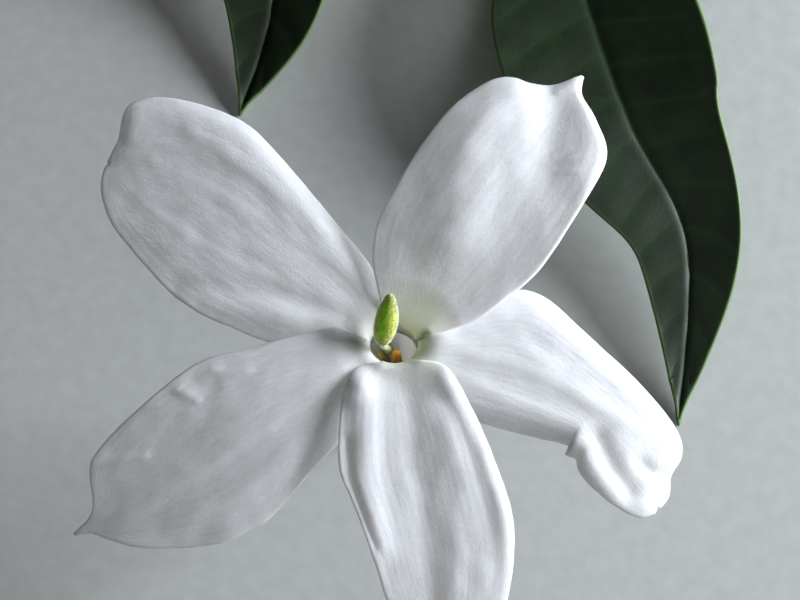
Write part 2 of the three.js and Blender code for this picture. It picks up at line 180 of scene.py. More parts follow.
def rough(points, size, seed):
    """Soft noise from -1 to 1 with lumps of about the given size."""
    shift = Vector([seed * k for k in SEED_SHIFT])
    flat = points.reshape(-1, 3) / size
    return np.array([noise.noise(Vector(p) + shift) for p in flat]).reshape(points.shape[:-1])


def lumpy(points, lumps):
    """The sum of several noises, each given by its height, the size of its lumps and its seed."""
    return sum(height * rough(points, size, seed) for height, size, seed in lumps)


# Meshes. A shape gathers the points and faces of one piece, with marks that its materials read: grown is the
# way that the tissue grew, in mm along and across. Two more marks run from 0 to 1: tint, which also carries a
# leaf's painted rim highlight, and one that holds a leaf's paler veins and also the stigma's painted glints.
class Shape:
    def __init__(self):
        self.points, self.faces, self.skins, self.total = [], [], [], 0
        self.grown, self.tint, self.veins = [], [], []

    def add(self, points, faces, skin=0, grown=None, tint=0.0, veins=0.0):
        points = points.reshape(-1, 3)
        self.points.append(points)
        self.grown.append(points if grown is None else grown.reshape(-1, 3))
        for kept, values in ((self.tint, tint), (self.veins, veins)):
            kept.append(np.broadcast_to(np.ravel(values), len(points)))
        for group in faces:
            self.faces.append(group + self.total)
            self.skins.append(np.full(len(group), skin))
        self.total += len(points)

    def piece(self, name, materials, slot, *nodes):
        """The finished piece, which rides on the sprig and stands for the nodes named."""
        points = np.vstack(self.points) + [AXIS_X, AXIS_Y, 0]
        corners = np.concatenate([f.ravel() for f in self.faces])
        sizes = np.concatenate([np.full(len(f), f.shape[1]) for f in self.faces])
        mesh = bpy.data.meshes.new(name)
        mesh.vertices.add(len(points))
        mesh.vertices.foreach_set("co", (points * MM).astype(np.float32).ravel())
        mesh.loops.add(len(corners))
        mesh.loops.foreach_set("vertex_index", corners.astype(np.int32))
        mesh.polygons.add(len(sizes))
        mesh.polygons.foreach_set("loop_start", np.append(0, np.cumsum(sizes)[:-1]).astype(np.int32))
        mesh.polygons.foreach_set("material_index", np.concatenate(self.skins).astype(np.int32))
        mesh.polygons.foreach_set("use_smooth", np.ones(len(sizes), bool))
        mesh.update(calc_edges=True)
        mesh.validate()
        mark = mesh.attributes.new("grown", "FLOAT_VECTOR", "POINT")
        mark.data.foreach_set("vector", np.vstack(self.grown).astype(np.float32).ravel())
        for key, values in (("tint", self.tint), ("veins", self.veins)):
            mark = mesh.attributes.new(key, "FLOAT", "POINT")
            mark.data.foreach_set("value", np.concatenate(values).astype(np.float32))
        for material in materials:
            mesh.materials.append(material)
        piece = placed(name, mesh)
        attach(piece, "root")
        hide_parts(*nodes)


def quads(index, closed=False):
    """The faces between neighbours in a grid of point numbers, where closed joins its columns' ends."""
    if closed:
        index = np.hstack([index, index[:, :1]])
    a, b, c, d = index[:-1, :-1], index[1:, :-1], index[1:, 1:], index[:-1, 1:]
    return np.stack([a, b, c, d], axis=-1).reshape(-1, 4)


def upwards(grid):
    """The unit normals of a grid of points."""
    return unit(np.cross(np.gradient(grid, axis=0), np.gradient(grid, axis=1)))


def add_sheet(shape, middle, thickness, grown, tint, veins, under_skin=0, floor=None):
    """A thin closed body round a grid of points, with the same grid on both of its faces."""
    rows, columns = middle.shape[:2]
    half = upwards(middle) * thickness[..., None] / 2
    top, bottom = middle + half, middle - half
    if floor is not None:
        lift = np.maximum(floor - bottom[..., 2], 0)
        top[..., 2] += lift
        bottom[..., 2] += lift
    index = np.arange(rows * columns).reshape(rows, columns)
    below = index + rows * columns
    border = np.concatenate([index[:, 0], index[-1, 1:], index[-2::-1, -1], index[0, -2:0:-1]])
    after = np.roll(border, -1)
    wall = np.stack([border + rows * columns, after + rows * columns, after, border], axis=-1)
    points = np.vstack([top.reshape(-1, 3), bottom.reshape(-1, 3)])
    marks = [np.concatenate([m.reshape(rows * columns, -1)] * 2) for m in (grown, tint, veins)]
    shape.add(points, [quads(index), wall, quads(below)[:, ::-1]], 0, *marks)
    shape.skins[-1][:] = under_skin


def add_rings(shape, rings, skin=0, grown=None, tint=0.0, ends=(True, True)):
    """A closed body through rings of points, with a middle point at each closed end."""
    count, sides = rings.shape[:2]
    index = np.arange(count * sides).reshape(count, sides)
    faces = [quads(index, closed=True)[:, ::-1]]
    points = [rings.reshape(-1, 3)]
    total = count * sides
    for row, wanted in ((0, ends[0]), (count - 1, ends[1])):
        if not wanted:
            continue
        ring = index[row]
        after = np.roll(ring, -1)
        order = (after, ring) if row == 0 else (ring, after)
        faces.append(np.stack([np.full(sides, total), *order], axis=-1))
        points.append(rings[row].mean(axis=0)[None])
        total += 1
    tint = np.asarray(tint, float)
    if tint.ndim:
        tint = np.resize(np.append(tint.ravel(), [tint.mean()] * 2), total)
    if grown is not None:
        grown = grown.reshape(-1, 3)
        grown = np.vstack([grown, np.repeat(grown[-1:], total - count * sides, axis=0)])
    shape.add(np.vstack(points), faces, skin, grown, tint)


def swept(line, radius, facing, sides, section=1.0):
    """Rings of points round a line. Angle 0 of each ring looks the way that facing points."""
    ahead = unit(np.gradient(line, axis=0))
    facing = np.broadcast_to(np.asarray(facing, float), line.shape)
    normal = unit(facing - (facing * ahead).sum(axis=1, keepdims=True) * ahead)
    side = np.cross(ahead, normal)
    angle = around(sides)
    reach = np.broadcast_to(np.asarray(radius, float), (len(line),))[:, None] * section * np.ones(sides)
    outward = normal[:, None] * np.cos(angle)[:, None] + side[:, None] * np.sin(angle)[:, None]
    return line[:, None] + outward * reach[..., None]


def turned(profile, count, sides):
    """Rings of points for a profile of radius and height that turns round the flower's axis."""
    radius, z = curve(profile, count).T[..., None]
    angle = around(sides)
    return together(radius * np.cos(angle), radius * np.sin(angle), z)


CONE_SINK = 0.01


def add_cones(shape, feet, ways, length, width, grown=None, tint=0.0, veins=0.0):
    """Small cones with four sides, such as papillae and pollen. Their feet are sunk a little."""
    feet = feet - ways * CONE_SINK
    helper = np.where(np.abs(ways[:, 2:]) < 0.9, [[0.0, 0.0, 1.0]], [[1.0, 0.0, 0.0]])
    side = unit(np.cross(ways, helper))
    other = np.cross(ways, side)
    corners = [feet + width * d for d in (side, other, -side, -other)]
    points = np.stack([*corners, feet + ways * length[:, None]], axis=1)
    base = 5 * np.arange(len(feet))[:, None]
    sides = [base + [k, (k + 1) % 4, 4] for k in range(4)]
    grown = None if grown is None else np.repeat(grown, 5, axis=0)
    shape.add(points, [np.vstack(sides), base + [3, 2, 1, 0]], 0, grown, tint, veins)


# Materials.
def linear(colour):
    """An sRGB hex colour as the linear colour that a shader takes."""
    parts = [int(colour[k:k + 2], 16) / 255 for k in (1, 3, 5)]
    return [p / 12.92 if p <= 0.04045 else ((p + 0.055) / 1.055) ** 2.4 for p in parts] + [1.0]


def add_node(material, kind, inputs, stops=(), output=0, **settings):
    """Adds a node and gives its output. An input is a value, an sRGB hex colour, or another output."""
    tree = material.node_tree
    made = tree.nodes.new(kind)
    for key, value in settings.items():
        setattr(made, key, value)
    for key, value in inputs.items():
        if isinstance(value, bpy.types.NodeSocket):
            tree.links.new(value, made.inputs[key])
        else:
            made.inputs[key].default_value = linear(value) if isinstance(value, str) else value
    for number, (place, colour) in enumerate(stops):
        made.color_ramp.elements[number].position = place
        made.color_ramp.elements[number].color = linear(colour)
    return made.outputs[output] if made.outputs else None


def new_material(name):
    material = bpy.data.materials.new(name)
    material.use_nodes = True
    material.node_tree.nodes.clear()
    return material


def finished(material, surface):
    """The material, once its surface has the given inputs."""
    shader = add_node(material, "ShaderNodeBsdfPrincipled", surface)
    add_node(material, "ShaderNodeOutputMaterial", {"Surface": shader})
    return material


def pattern(material, per_mm, kind="ShaderNodeTexNoise", **look):
    """Lumps or cells over the way that the tissue grew. per_mm is how many fit in a mm each way."""
    grown = add_node(material, "ShaderNodeAttribute", {}, output="Vector", attribute_name="grown")
    scaled = add_node(material, "ShaderNodeVectorMath", {0: grown, 1: per_mm}, operation="MULTIPLY")
    return add_node(material, kind, {"Vector": scaled, "Scale": 1.0, **look})


def marked(material, colour, **tones):
    """The colour, turned to each other tone as far as the mark of that name says."""
    for mark, tone in tones.items():
        share = add_node(material, "ShaderNodeAttribute", {}, output="Fac", attribute_name=mark)
        inputs = {0: share, 6: colour, 7: tone}
        colour = add_node(material, "ShaderNodeMix", inputs, output=2, data_type="RGBA")
    return colour


GRAIN_SHARES = ((0.32, 0.62, 1.0), (0.34, 0.6, 0.55), (0.3, 0.7, 0.35))
GRAIN_RELIEF = 0.04
CELL_RELIEF = 0.03


def petal_material(name, whites, throat, scatter, scatter_mm):
    # Petal tissue, grown: light scatters in it, which makes it white and softens its shadows, and a waxy
    # bloom gives it a faint sheen. Veins 0.4 mm apart and cells 0.2 mm long, drawn coarser than they are so
    # that they show, give it a lengthwise grain. It turns yellower in the throat, which is its own tint, and
    # it is also painted paler there: a painted glow of the light that comes through the thin tissue.
    material = new_material(name)
    low, high = whites
    grain = pattern(material, (0.16, 2.4, 1.0), Detail=3.0, Roughness=0.55)
    flecks = pattern(material, (1.6, 4.2, 1.0), Detail=4.0, Roughness=0.65)
    clouds = pattern(material, (0.35, 0.7, 1.0), Detail=2.0)
    cells = pattern(material, (4.5, 7.0, 1.0), kind="ShaderNodeTexVoronoi")
    white = low
    for texture, (start, end, share) in zip((grain, flecks, clouds), GRAIN_SHARES):
        tone = add_node(material, "ShaderNodeValToRGB", {"Fac": texture}, [(start, low), (end, high)])
        inputs = {0: share, 6: white, 7: tone}
        white = add_node(material, "ShaderNodeMix", inputs, output=2, data_type="RGBA")
    heights = add_node(material, "ShaderNodeMath", {0: grain, 1: flecks}, operation="ADD")
    coarse = {"Height": heights, "Strength": 0.35, "Distance": GRAIN_RELIEF * MM}
    bump = add_node(material, "ShaderNodeBump", coarse)
    fine = {"Height": cells, "Strength": 0.3, "Distance": CELL_RELIEF * MM, "Normal": bump}
    return finished(material, {
        "Base Color": marked(material, white, tint=throat), "Roughness": 0.52, "IOR": 1.42,
        "Specular IOR Level": 0.35, "Subsurface Weight": scatter, "Subsurface Radius": (1.0, 0.95, 0.9),
        "Subsurface Scale": scatter_mm * MM, "Sheen Weight": 0.15, "Sheen Roughness": 0.5,
        "Normal": add_node(material, "ShaderNodeBump", fine),
    })


def green_material(name, tones, roughness, per_mm, relief_mm, scatter, **marks):
    # Living tissue with a thin skin: mottled along the way it grew, between a dark and a light tone.
    # The more it scatters, the deeper light gets into it and the more evenly it glows.
    material = new_material(name)
    dark, light = tones
    mottle = pattern(material, per_mm, Detail=4.0, Roughness=0.6)
    tone = add_node(material, "ShaderNodeValToRGB", {"Fac": mottle}, [(0.3, dark), (0.68, light)])
    relief = {"Height": mottle, "Strength": 0.6, "Distance": relief_mm * MM}
    return finished(material, {
        "Base Color": marked(material, tone, **marks), "Roughness": roughness, "IOR": 1.45,
        "Subsurface Weight": scatter, "Subsurface Radius": (0.5, 1.0, 0.25),
        "Subsurface Scale": (0.3 + 2.5 * scatter) * MM,
        "Normal": add_node(material, "ShaderNodeBump", relief),
    })


# The colour of a leaf's thin pale rim, a painted highlight along its edge.
LEAF_RIM_HIGHLIGHT_TONE = "#6f8d55"
LEAF_SCATTER_MM = 0.4
LEAF_RELIEF = 0.02


def leaf_material(name, dark, light, vein, roughness, coat):
    # A leaf's skin, grown and waxed: blotches of 2 mm, and cells drawn at 0.2 mm so that they show, mottle it
    # and soften its gloss. Its veins are paler. Its thin rim is painted paler too, as a painted highlight
    # along the edge.
    material = new_material(name)
    blotches = pattern(material, (0.5, 0.5, 1.0), Detail=5.0, Roughness=0.6)
    cells = pattern(material, (5.0, 5.0, 1.0), kind="ShaderNodeTexVoronoi")
    tone = add_node(material, "ShaderNodeValToRGB", {"Fac": blotches}, [(0.3, dark), (0.7, light)])
    relief = {"Height": cells, "Strength": 0.25, "Distance": LEAF_RELIEF * MM}
    return finished(material, {
        "Base Color": marked(material, tone, veins=vein, tint=LEAF_RIM_HIGHLIGHT_TONE), "Roughness": roughness,
        "Specular IOR Level": 0.36, "Subsurface Weight": 0.08, "Subsurface Radius": (0.4, 1.0, 0.2),
        "Subsurface Scale": LEAF_SCATTER_MM * MM, "Coat Weight": coat, "Coat Roughness": 0.22,
        "Normal": add_node(material, "ShaderNodeBump", relief),
    })


TABLE_GRAIN_PER_M = 900.0
TABLE_RELIEF = 0.05


def table_material():
    # A board with matt paint, rolled on: pale and without gloss, with a soft grain of about 1 mm.
    material = new_material("table_matt_painted_board")
    place = add_node(material, "ShaderNodeTexCoord", {}, output="Object")
    look = {"Vector": place, "Scale": TABLE_GRAIN_PER_M, "Detail": 3.0}
    grain = add_node(material, "ShaderNodeTexNoise", look)
    tone = add_node(material, "ShaderNodeValToRGB", {"Fac": grain}, [(0.3, "#bcbebc"), (0.7, "#c4c6c4")])
    relief = {"Height": grain, "Strength": 0.2, "Distance": TABLE_RELIEF * MM}
    bump = add_node(material, "ShaderNodeBump", relief)
    return finished(material, {"Base Color": tone, "Roughness": 0.75, "Normal": bump})


# The flower's petals. An outline is given from above, in the petal's own frame: how far out from
# the flower's axis, and how far to the left. root gives the angles of its two edges where they leave
# the throat, and layer its place in the stack. rise is its height over the mouth at every 5 mm.
# A relief is a line, its width and its height, and a margin is a side, a width, a drop, and how much
# of that drop there is along the petal.
PETAL_LENGTH = 23
RISE_STEP = 5.0
ROLL_STARTS = 0.5
RIBS_ACROSS = 3
PETAL_FOOT_Z = MOUTH_Z - 0.3
PETAL_THICKNESS = 0.21
EDGE_THICKNESS = 0.03
EDGE_ROUND = 0.2
LAYER_STEP = 0.06
THROAT_RING = 1.7
THROAT_RADIUS = 1.5
THROAT_DEPTHS = (0.7, 0.85)
THROAT_FLOOR = 2.1
THROAT_STEP = 0.2
FUNNEL_START = 2.0
FUNNEL_SPREAD = 1.3
SOFT_SIDE = radians(45)
MOUTH_MIDDLE = (-0.3, 0.1)
MOUTH_OVAL = (1.07, 0.95)
MOUTH_REACH = (1.8, 4.5)
MOUTH_HEIGHTS = (20.5, 24.5)
PETALS = [
    dict(
        azimuth=143, root=(40, -49), layer=0,
        left=[
            [3.3, 2.6], [6, 4.6], [9, 5.5], [11.7, 6.0], [14.6, 5.75], [18.7, 4.7], [20.6, 3.7], [21.7, 2.6],
        ],
        middle=[[8, 0.3], [15, 0.1]],
        right=[
            [2.5, -1.9], [4.7, -3.2], [8.6, -4.3], [13.9, -5.7], [17, -6.15], [20, -5.5], [22.4, -4.4],
            [23.4, -3.4], [23.65, -2.5], [23.3, -1.5], [22.75, -0.6], [22.5, 0.3],
        ],
        tip=[22.25, 1.4], rise=[-0.2, 0.2, 0.4, 0.15, -0.5, -1.3], crown=0.2, rolls=(0.1, 0.4), ribs=0.04,
        relief=[
            ([[13.2, 5.4], [10.4, 3.5], [7.1, 1.8], [3.7, 0.5]], 0.8, -0.18),
            ([[12, 6], [9, 4.5], [6, 3.0]], 1.2, 0.18),
            ([[19.9, -0.4], [12.5, -1.1], [4.4, -1.8]], 0.4, 0.035),
            ([[19.6, -3.5], [13.9, -3.4], [7.7, -3.1]], 0.45, 0.035),
            ([[20.4, 2.2], [13.1, 2.3], [4.9, 0.5]], 0.4, 0.03),
            ([[22.9, -2.8], [22.6, -1.6], [22.1, -0.8]], 0.5, 0.04),
        ],
        margins=[("right", 1.7, 0.55, [0, 0.5, 1, 1, 0.8, 0.4, 0.2])],
    ),
    dict(
        azimuth=55, root=(49, -44), layer=1,
        left=[
            [2.6, 3.6], [4.3, 4.9], [6.7, 5.7], [12.3, 6.1], [15, 5.85], [17, 5.2], [18, 4.55], [18.5, 3.8],
            [18.7, 3.1], [19.3, 2.2], [20.2, 1.3],
        ],
        middle=[[8, 0.6], [15, 0.7]],
        right=[[3.6, -3.2], [6, -4.1], [9, -4.8], [14.3, -4.5], [17.5, -3.8], [19.2, -1.9], [20.2, -0.1]],
        tip=[21.5, 0.6], rise=[0.4, 0.9, 1.35, 1.2, 0.4, -0.6], crown=0.1, rolls=(0.1, -0.35), ribs=0.02,
        relief=[
            ([[17.2, 3.8], [14.2, 3.6], [10.7, 2.5], [7.2, 1.2]], 2.1, 0.5),
            ([[19.4, 1.6], [17.2, 0.3], [14.6, -1.0]], 1.1, -0.22),
            ([[19.2, -1.2], [17.6, -2.4], [15.4, -3.3]], 1.0, 0.12),
            ([[15.4, -1.7], [16.1, -2.3]], 0.14, 0.06),
            ([[14.7, -1.9], [15.5, -3.0]], 0.14, 0.06),
            ([[15.5, -1.1], [16.5, -1.7]], 0.14, 0.05),
            ([[20.8, 0.6], [19.6, 1.2]], 0.4, 0.15),
        ],
        margins=[("right", 0.6, 0.4, [0, 0, 0, 0, 0.1, 0.5, 1, 0.5])],
    ),
    dict(
        azimuth=-22, root=(44, -35), layer=0,
        left=[
            [2.6, 3.6], [4.7, 6], [7, 6.8], [10.3, 5.75], [15.1, 3.95], [18, 2.3], [18.9, 0.9],
            [18.75, -0.6], [19.1, -1.9],
        ],
        middle=[[7, 1.9], [12, 1.5], [16, 0.1]],
        right=[
            [3.5, -2.3], [6.4, -2.4], [9.9, -1.9], [11.7, -1.6], [12.4, -1.6], [12.2, -2.2], [12.9, -2.2],
            [13.3, -2.8], [14.3, -3.4], [16.3, -4], [17.9, -3.95],
        ],
        tip=[18.75, -3.1], rise=[-0.2, -0.4, -1.0, -2.1, -3.9, -6], crown=0.45, rolls=(0.3, 0.3), ribs=0.04,
        relief=[
            ([[13.7, -0.6], [15.0, -1.7], [16.6, -2.8]], 0.7, -0.3),
            ([[18.6, -0.8], [17.6, -1.0], [16.8, -0.8]], 0.5, -0.2),
            ([[3.4, 1.1], [8.9, 1.6], [15.9, 1.0]], 0.5, 0.04),
            ([[3.7, -0.6], [8.4, -0.5], [12.4, -0.3]], 0.4, 0.04),
        ],
        margins=[
            ("right", 1.0, 0.4, [0, 0.8, 1, 1, 0.8, 0.7, 0.8, 0.7]),
            ("left", 1.4, 0.35, [0, 0.5, 1, 1, 0.8, 0.5]),
        ],
    ),
    dict(
        azimuth=-82, root=(35, -38), layer=2,
        left=[[2.0, 2.5], [3.5, 3.3], [6.7, 4.3], [11.5, 5.3], [14.5, 5.1], [17.5, 4.1], [19.3, 2.3]],
        middle=[[8, 0.1], [14, 0.6]],
        right=[[1.7, -2.8], [3.5, -4], [7.5, -4.8], [10.5, -4.2], [13.6, -3.5], [16.5, -2.9], [18.8, -1.5]],
        tip=[20, 0.4], rise=[0, 0.9, 0.7, 0, -1.4, -3], crown=-0.3, rolls=(0.1, 0.1), ribs=0.0,
        relief=[
            ([[2.8, -2.4], [5.9, -2.9], [9.0, -3.4], [12.9, -3.2]], 1.0, 0.28),
            ([[6.2, -4.0], [8.7, -4.1], [11.2, -3.7], [13.0, -3.3]], 0.3, -0.16),
            ([[1.9, 0.2], [6.7, 0.1], [11.7, 0.0], [16.5, -0.3]], 0.8, -0.14),
            ([[6.4, 2.4], [10.8, 2.2], [16.7, 1.2]], 0.7, 0.08),
            ([[4.4, 2.6], [9.1, 3.7], [13.5, 4.2], [17.0, 3.7]], 0.7, -0.16),
            ([[2.1, 1.9], [2.7, 2.5], [3.8, 2.9]], 0.8, 0.35),
            ([[2.0, -2.2], [3.4, -3.2]], 0.8, 0.3),
        ],
        margins=[
            ("left", 0.9, 0.45, [0, 1, 1, 1, 0.7, 0.5]),
            ("right", 0.6, -0.15, [0, 0, 0.6, 1, 0.6, 0, 0]),
        ],
    ),
    dict(
        azimuth=212, root=(38, -40), layer=1,
        left=[
            [3.5, 2.0], [5.1, 2.2], [6.5, 3.4], [8.9, 4.1], [11, 4.8], [12.9, 5.3], [14, 5.2], [16.1, 4.9],
            [19.2, 3.3], [20.8, 2.1], [21.8, 0.9], [22.3, 0.1], [22.8, -0.25],
        ],
        middle=[[9, -0.3], [16, -0.2]],
        right=[
            [2.6, -2.8], [5, -3.6], [8.3, -4.5], [11.5, -5.4], [16.5, -4.9], [19.6, -4.1], [20.6, -3.2],
            [21.1, -2.1], [21.6, -1.25], [22.4, -0.8],
        ],
        tip=[23.5, -0.6], rise=[0, 0.4, 0.5, 0, -0.9, -2.1], crown=0.3, rolls=(0.6, 0.1), ribs=0.03,
        relief=[
            ([[10.8, -4.5], [10.1, -3.8], [8.9, -3.3]], 0.22, 0.08),
            ([[13.3, -4.6], [13.0, -4.0], [12.6, -3.4]], 0.22, 0.1),
            ([[12.2, -4.6], [11.9, -4.1], [11.3, -3.7]], 0.45, -0.08),
            ([[17.1, -2.2], [18.5, -2.9], [20.0, -3.5]], 0.28, 0.08),
            ([[17.4, -2.8], [18.8, -3.6]], 0.4, -0.05),
            ([[4.9, -0.1], [12.6, 0.5], [21.1, 0.3]], 0.45, 0.035),
            ([[6, 2], [12, 3], [18, 2.4]], 0.4, 0.03),
        ],
        margins=[("right", 2.4, -0.7, [0, 0.3, 0.8, 1, 0.6, 0.25, 0.1, 0])],
    ),
]
PETAL_ROWS = 104
THROAT_ROWS = 14
PETAL_COLUMNS = 77
OUTLINE_STEPS = 600
EDGE_CROWDING = 0.75
LAST_ROW = 0.992
THROAT_TINT = 0.8
GROWN_HALF_WIDTH = 5.0

# The fine relief of a petal. A lump is a height, a size and a seed.
NIBBLE_DEPTH = 0.07
NIBBLES = ((0.6, 2.2, 6), (0.4, 0.9, 7))
OTHER_EDGE_SEED = 500
CRUMPLES = ((0.09, 5.0, 1), (0.045, 1.5, 2))
CRUMPLE_STRETCH = 1.6
FLUTES = 9
FLUTE_HEIGHT = 0.006
FLUTE_WANDER = ((2.5, 4.0, 3),)
FRILLS = ((0.09, 2.4, 4),)
CALM_THROAT = (1.5, 5.0)


def funnel(angle):
    """How far out the mouth starts to fall, and how deep: crisp at the lower left, soft opposite."""
    soft = 0.5 + 0.5 * np.cos(angle - SOFT_SIDE)
    crisp_depth, soft_depth = THROAT_DEPTHS
    return FUNNEL_START + FUNNEL_SPREAD * soft, crisp_depth + (soft_depth - crisp_depth) * soft


def set_mouth(points):
    """Moves what is near the flower's axis, so that the mouth is an oval a little off it."""
    radius = np.linalg.norm(points[..., :2], axis=-1)
    share = (1 - eased(radius, *MOUTH_REACH)) * eased(points[..., 2], *MOUTH_HEIGHTS)
    share = share[..., None]
    moved = points[..., :2] * (1 + share * (np.array(MOUTH_OVAL) - 1)) + share * MOUTH_MIDDLE
    return np.concatenate([moved, points[..., 2:]], axis=-1)


def petal_plan(petal, u, v):
    """Points of the petal from above, for shares u of its length and v from its right to left edge."""
    lines = []
    left_root, right_root = petal["root"]
    for side, root in (("left", left_root), ("middle", 0), ("right", right_root)):
        foot = [THROAT_RING * math.cos(radians(root)), THROAT_RING * math.sin(radians(root))]
        lines.append(read(curve([foot, *petal[side], petal["tip"]], OUTLINE_STEPS, 0), u)[:, None])
    left, middle, right = lines
    nibble = NIBBLE_DEPTH * np.sin(math.pi * u)[:, None, None] * np.array([0.0, 1.0])
    run, seed = u * PETAL_LENGTH, petal["azimuth"]
    left = left + nibble * lumpy(together(run, seed, 0.0), NIBBLES)[:, None, None]
    right = right + nibble * lumpy(together(run, seed + OTHER_EDGE_SEED, 0.0), NIBBLES)[:, None, None]
    v = v[:, None]
    return middle + (left - right) * v / 2 + ((left + right) / 2 - middle) * v * v


def edge_distances(flat):
    """How far each point of a petal is from its right edge and from its left one."""
    step = np.linalg.norm(np.diff(flat, axis=1), axis=-1)
    run = np.hstack([np.zeros((len(flat), 1)), np.cumsum(step, axis=1)])
    return {"right": run, "left": run[:, -1:] - run}


def fullness(u):
    """How far a petal's cross-section is formed: it is flat at the root and at the tip."""
    return np.sin(math.pi * np.minimum(1, u * 1.1 + 0.05))[:, None]


def petal_form(petal, flat, u, v, from_edge):
    """The petal's height over the mouth, from its rise, cross-section, reliefs and margins."""
    reach = RISE_STEP * (len(petal["rise"]) - 1)
    past = np.maximum(0, (np.abs(v) - ROLL_STARTS) / (1 - ROLL_STARTS))
    roll = np.where(v > 0, *petal["rolls"]) * past ** 2
    ribs = petal["ribs"] * np.cos(RIBS_ACROSS * math.pi * v)
    section = ribs - petal["crown"] * v * v - roll
    height = along(petal["rise"], flat[..., 0] / reach) + fullness(u) * section
    for points, width, lift in petal["relief"]:
        height = height + lift * bell(away_from(flat, points), width)
    for side, width, drop, share in petal["margins"]:
        near = np.clip(1 - from_edge[side] / width, 0, 1)
        height = height - drop * near ** 2 * along(share, u)[:, None]
    return height


def petal_crumples(flat, u, v, number):
    """The petal's soft crumples, its lengthwise flutes and the frill of its edges."""
    spots = together(flat[..., 0], flat[..., 1] * CRUMPLE_STRETCH, number * 9.0)
    flutes = FLUTE_HEIGHT * np.cos(FLUTES * FULL_TURN * v + lumpy(spots, FLUTE_WANDER))
    frill = lumpy(spots, FRILLS) * np.abs(v) ** 6
    crumples = lumpy(spots, CRUMPLES) + flutes * fullness(u) + frill
    return crumples * eased(flat[..., 0], *CALM_THROAT)


def petal_lobe(petal, flat, height):
    """The open part of a petal, which falls into the mouth at its root."""
    radius = np.linalg.norm(flat, axis=-1)
    angle = radians(petal["azimuth"]) + np.arctan2(flat[..., 1], flat[..., 0])
    rim, depth = funnel(angle)
    share = np.clip((rim - radius) / (rim - THROAT_RADIUS), 0, 1)
    drop = depth * (1 - np.sqrt(1 - share ** 2))
    z = PETAL_FOOT_Z + height * eased(radius, THROAT_RING, 4.2) - drop
    lobe = together(radius * np.cos(angle), radius * np.sin(angle), z)
    return lobe, radius, angle[0], share[0]


def petal_throat(angle, share):
    """The petal's foot, which lines the mouth and goes down into the tube."""
    rim, depth = funnel(angle)
    down = np.linspace(1, 0, THROAT_ROWS, endpoint=False)[:, None]
    steep = np.arcsin(share) + (math.pi / 2 - np.arcsin(share)) * np.minimum(1, 1.4 * down)
    radius = rim - (rim - THROAT_RADIUS) * np.sin(steep)
    low = depth * (1 - np.cos(steep)) + (THROAT_FLOOR - depth) * np.maximum(0, 3.5 * down - 2.5)
    return together(radius * np.cos(angle), radius * np.sin(angle), PETAL_FOOT_Z - low), radius


def add_petal(shape, petal, number):
    w = np.linspace(-1, 1, PETAL_COLUMNS)
    v = (1 - EDGE_CROWDING) * w + EDGE_CROWDING * np.sin(w * math.pi / 2)
    u = np.linspace(0, LAST_ROW, PETAL_ROWS)
    flat = petal_plan(petal, u, v)
    from_edge = edge_distances(flat)
    height = petal_form(petal, flat, u, v, from_edge) + petal_crumples(flat, u, v, number)
    lobe, lobe_radius, angle, share = petal_lobe(petal, flat, height)
    throat, throat_radius = petal_throat(angle, share)
    radius = np.concatenate([throat_radius, lobe_radius])
    middle = set_mouth(np.concatenate([throat, lobe]))
    middle = middle + upwards(middle) * petal["layer"] * LAYER_STEP
    edge = np.minimum(from_edge["left"], from_edge["right"])
    edge = np.concatenate([np.repeat(edge[:1], THROAT_ROWS, axis=0), edge])
    rounded = np.clip(1 - edge / EDGE_ROUND, 0, 1)
    body = PETAL_THICKNESS * (0.75 + 0.25 * eased(radius, 1.5, 6.0))
    thickness = EDGE_THICKNESS + body * np.sqrt(1 - rounded ** 2)
    length = np.append(np.arange(-THROAT_ROWS, 0) * THROAT_STEP, u * PETAL_LENGTH)[:, None]
    grown = together(length, v * GROWN_HALF_WIDTH, number * 10.0)
    # Towards the mouth the colour turns yellower, its own tint, and paler, a painted glow of light through
    # the tissue.
    tint = THROAT_TINT * (1 - eased(radius, 1.4, 3.9)) ** 1.3
    add_sheet(shape, middle, thickness, grown, tint, np.zeros_like(tint))


TUBE_OUTSIDE = [
    [0.95, 10.4], [1, 13], [1.05, 17], [1.2, 20], [1.55, 22.5], [1.9, 24.2], [2.25, 25.0], [2.7, 25.35],
]
TUBE_INSIDE = [
    [2.35, 25.05], [1.9, 24.7], [1.65, 24.1], [1.48, 23.5], [1.08, 22.4], [0.8, 20.8], [0.62, 18], [0.58, 13],
    [0.56, 10.4],
]
TUBE_LENGTH = 16
TUBE_OUTER_ROWS = 70
TUBE_INNER_ROWS = 50
TUBE_SIDES = 64
TUBE_RIBS = 10
TUBE_RIB_SHARE = 0.012


def add_tube(shape):
    """The thin tube under the petals, ribbed outside and lined inside."""
    outside = turned(TUBE_OUTSIDE, TUBE_OUTER_ROWS, TUBE_SIDES)
    inside = turned(TUBE_INSIDE, TUBE_INNER_ROWS, TUBE_SIDES)
    rings = np.concatenate([outside, inside])
    angle = around(TUBE_SIDES)
    rings[..., :2] *= (1 + TUBE_RIB_SHARE * np.cos(TUBE_RIBS * angle))[:, None]
    rings = set_mouth(rings)
    below = [np.linspace(TUBE_LENGTH, 0, TUBE_OUTER_ROWS), np.linspace(0, TUBE_LENGTH, TUBE_INNER_ROWS)]
    grown = together(-np.concatenate(below)[:, None], angle * 3.0, 80.0)
    tint = np.concatenate([0.2 + 0.5 * eased(below[0], 8.0, 16.0), eased(below[1], 3.0, 9.0)])
    index = np.arange(len(rings) * TUBE_SIDES).reshape(len(rings), TUBE_SIDES)
    faces = quads(np.vstack([index, index[:1]]), closed=True)[:, ::-1]
    shape.add(rings, [faces], 0, grown, np.repeat(tint, TUBE_SIDES))
    shape.skins[-1][TUBE_OUTER_ROWS * TUBE_SIDES:(len(rings) - 1) * TUBE_SIDES] = 1


def make_corolla(petal_skin, tube_skin):
    shape = Shape()
    for number, petal in enumerate(PETALS):
        add_petal(shape, petal, number)
    add_tube(shape)
    shape.piece("flower_petals_and_tube", [petal_skin, tube_skin], "petal", "corolla")


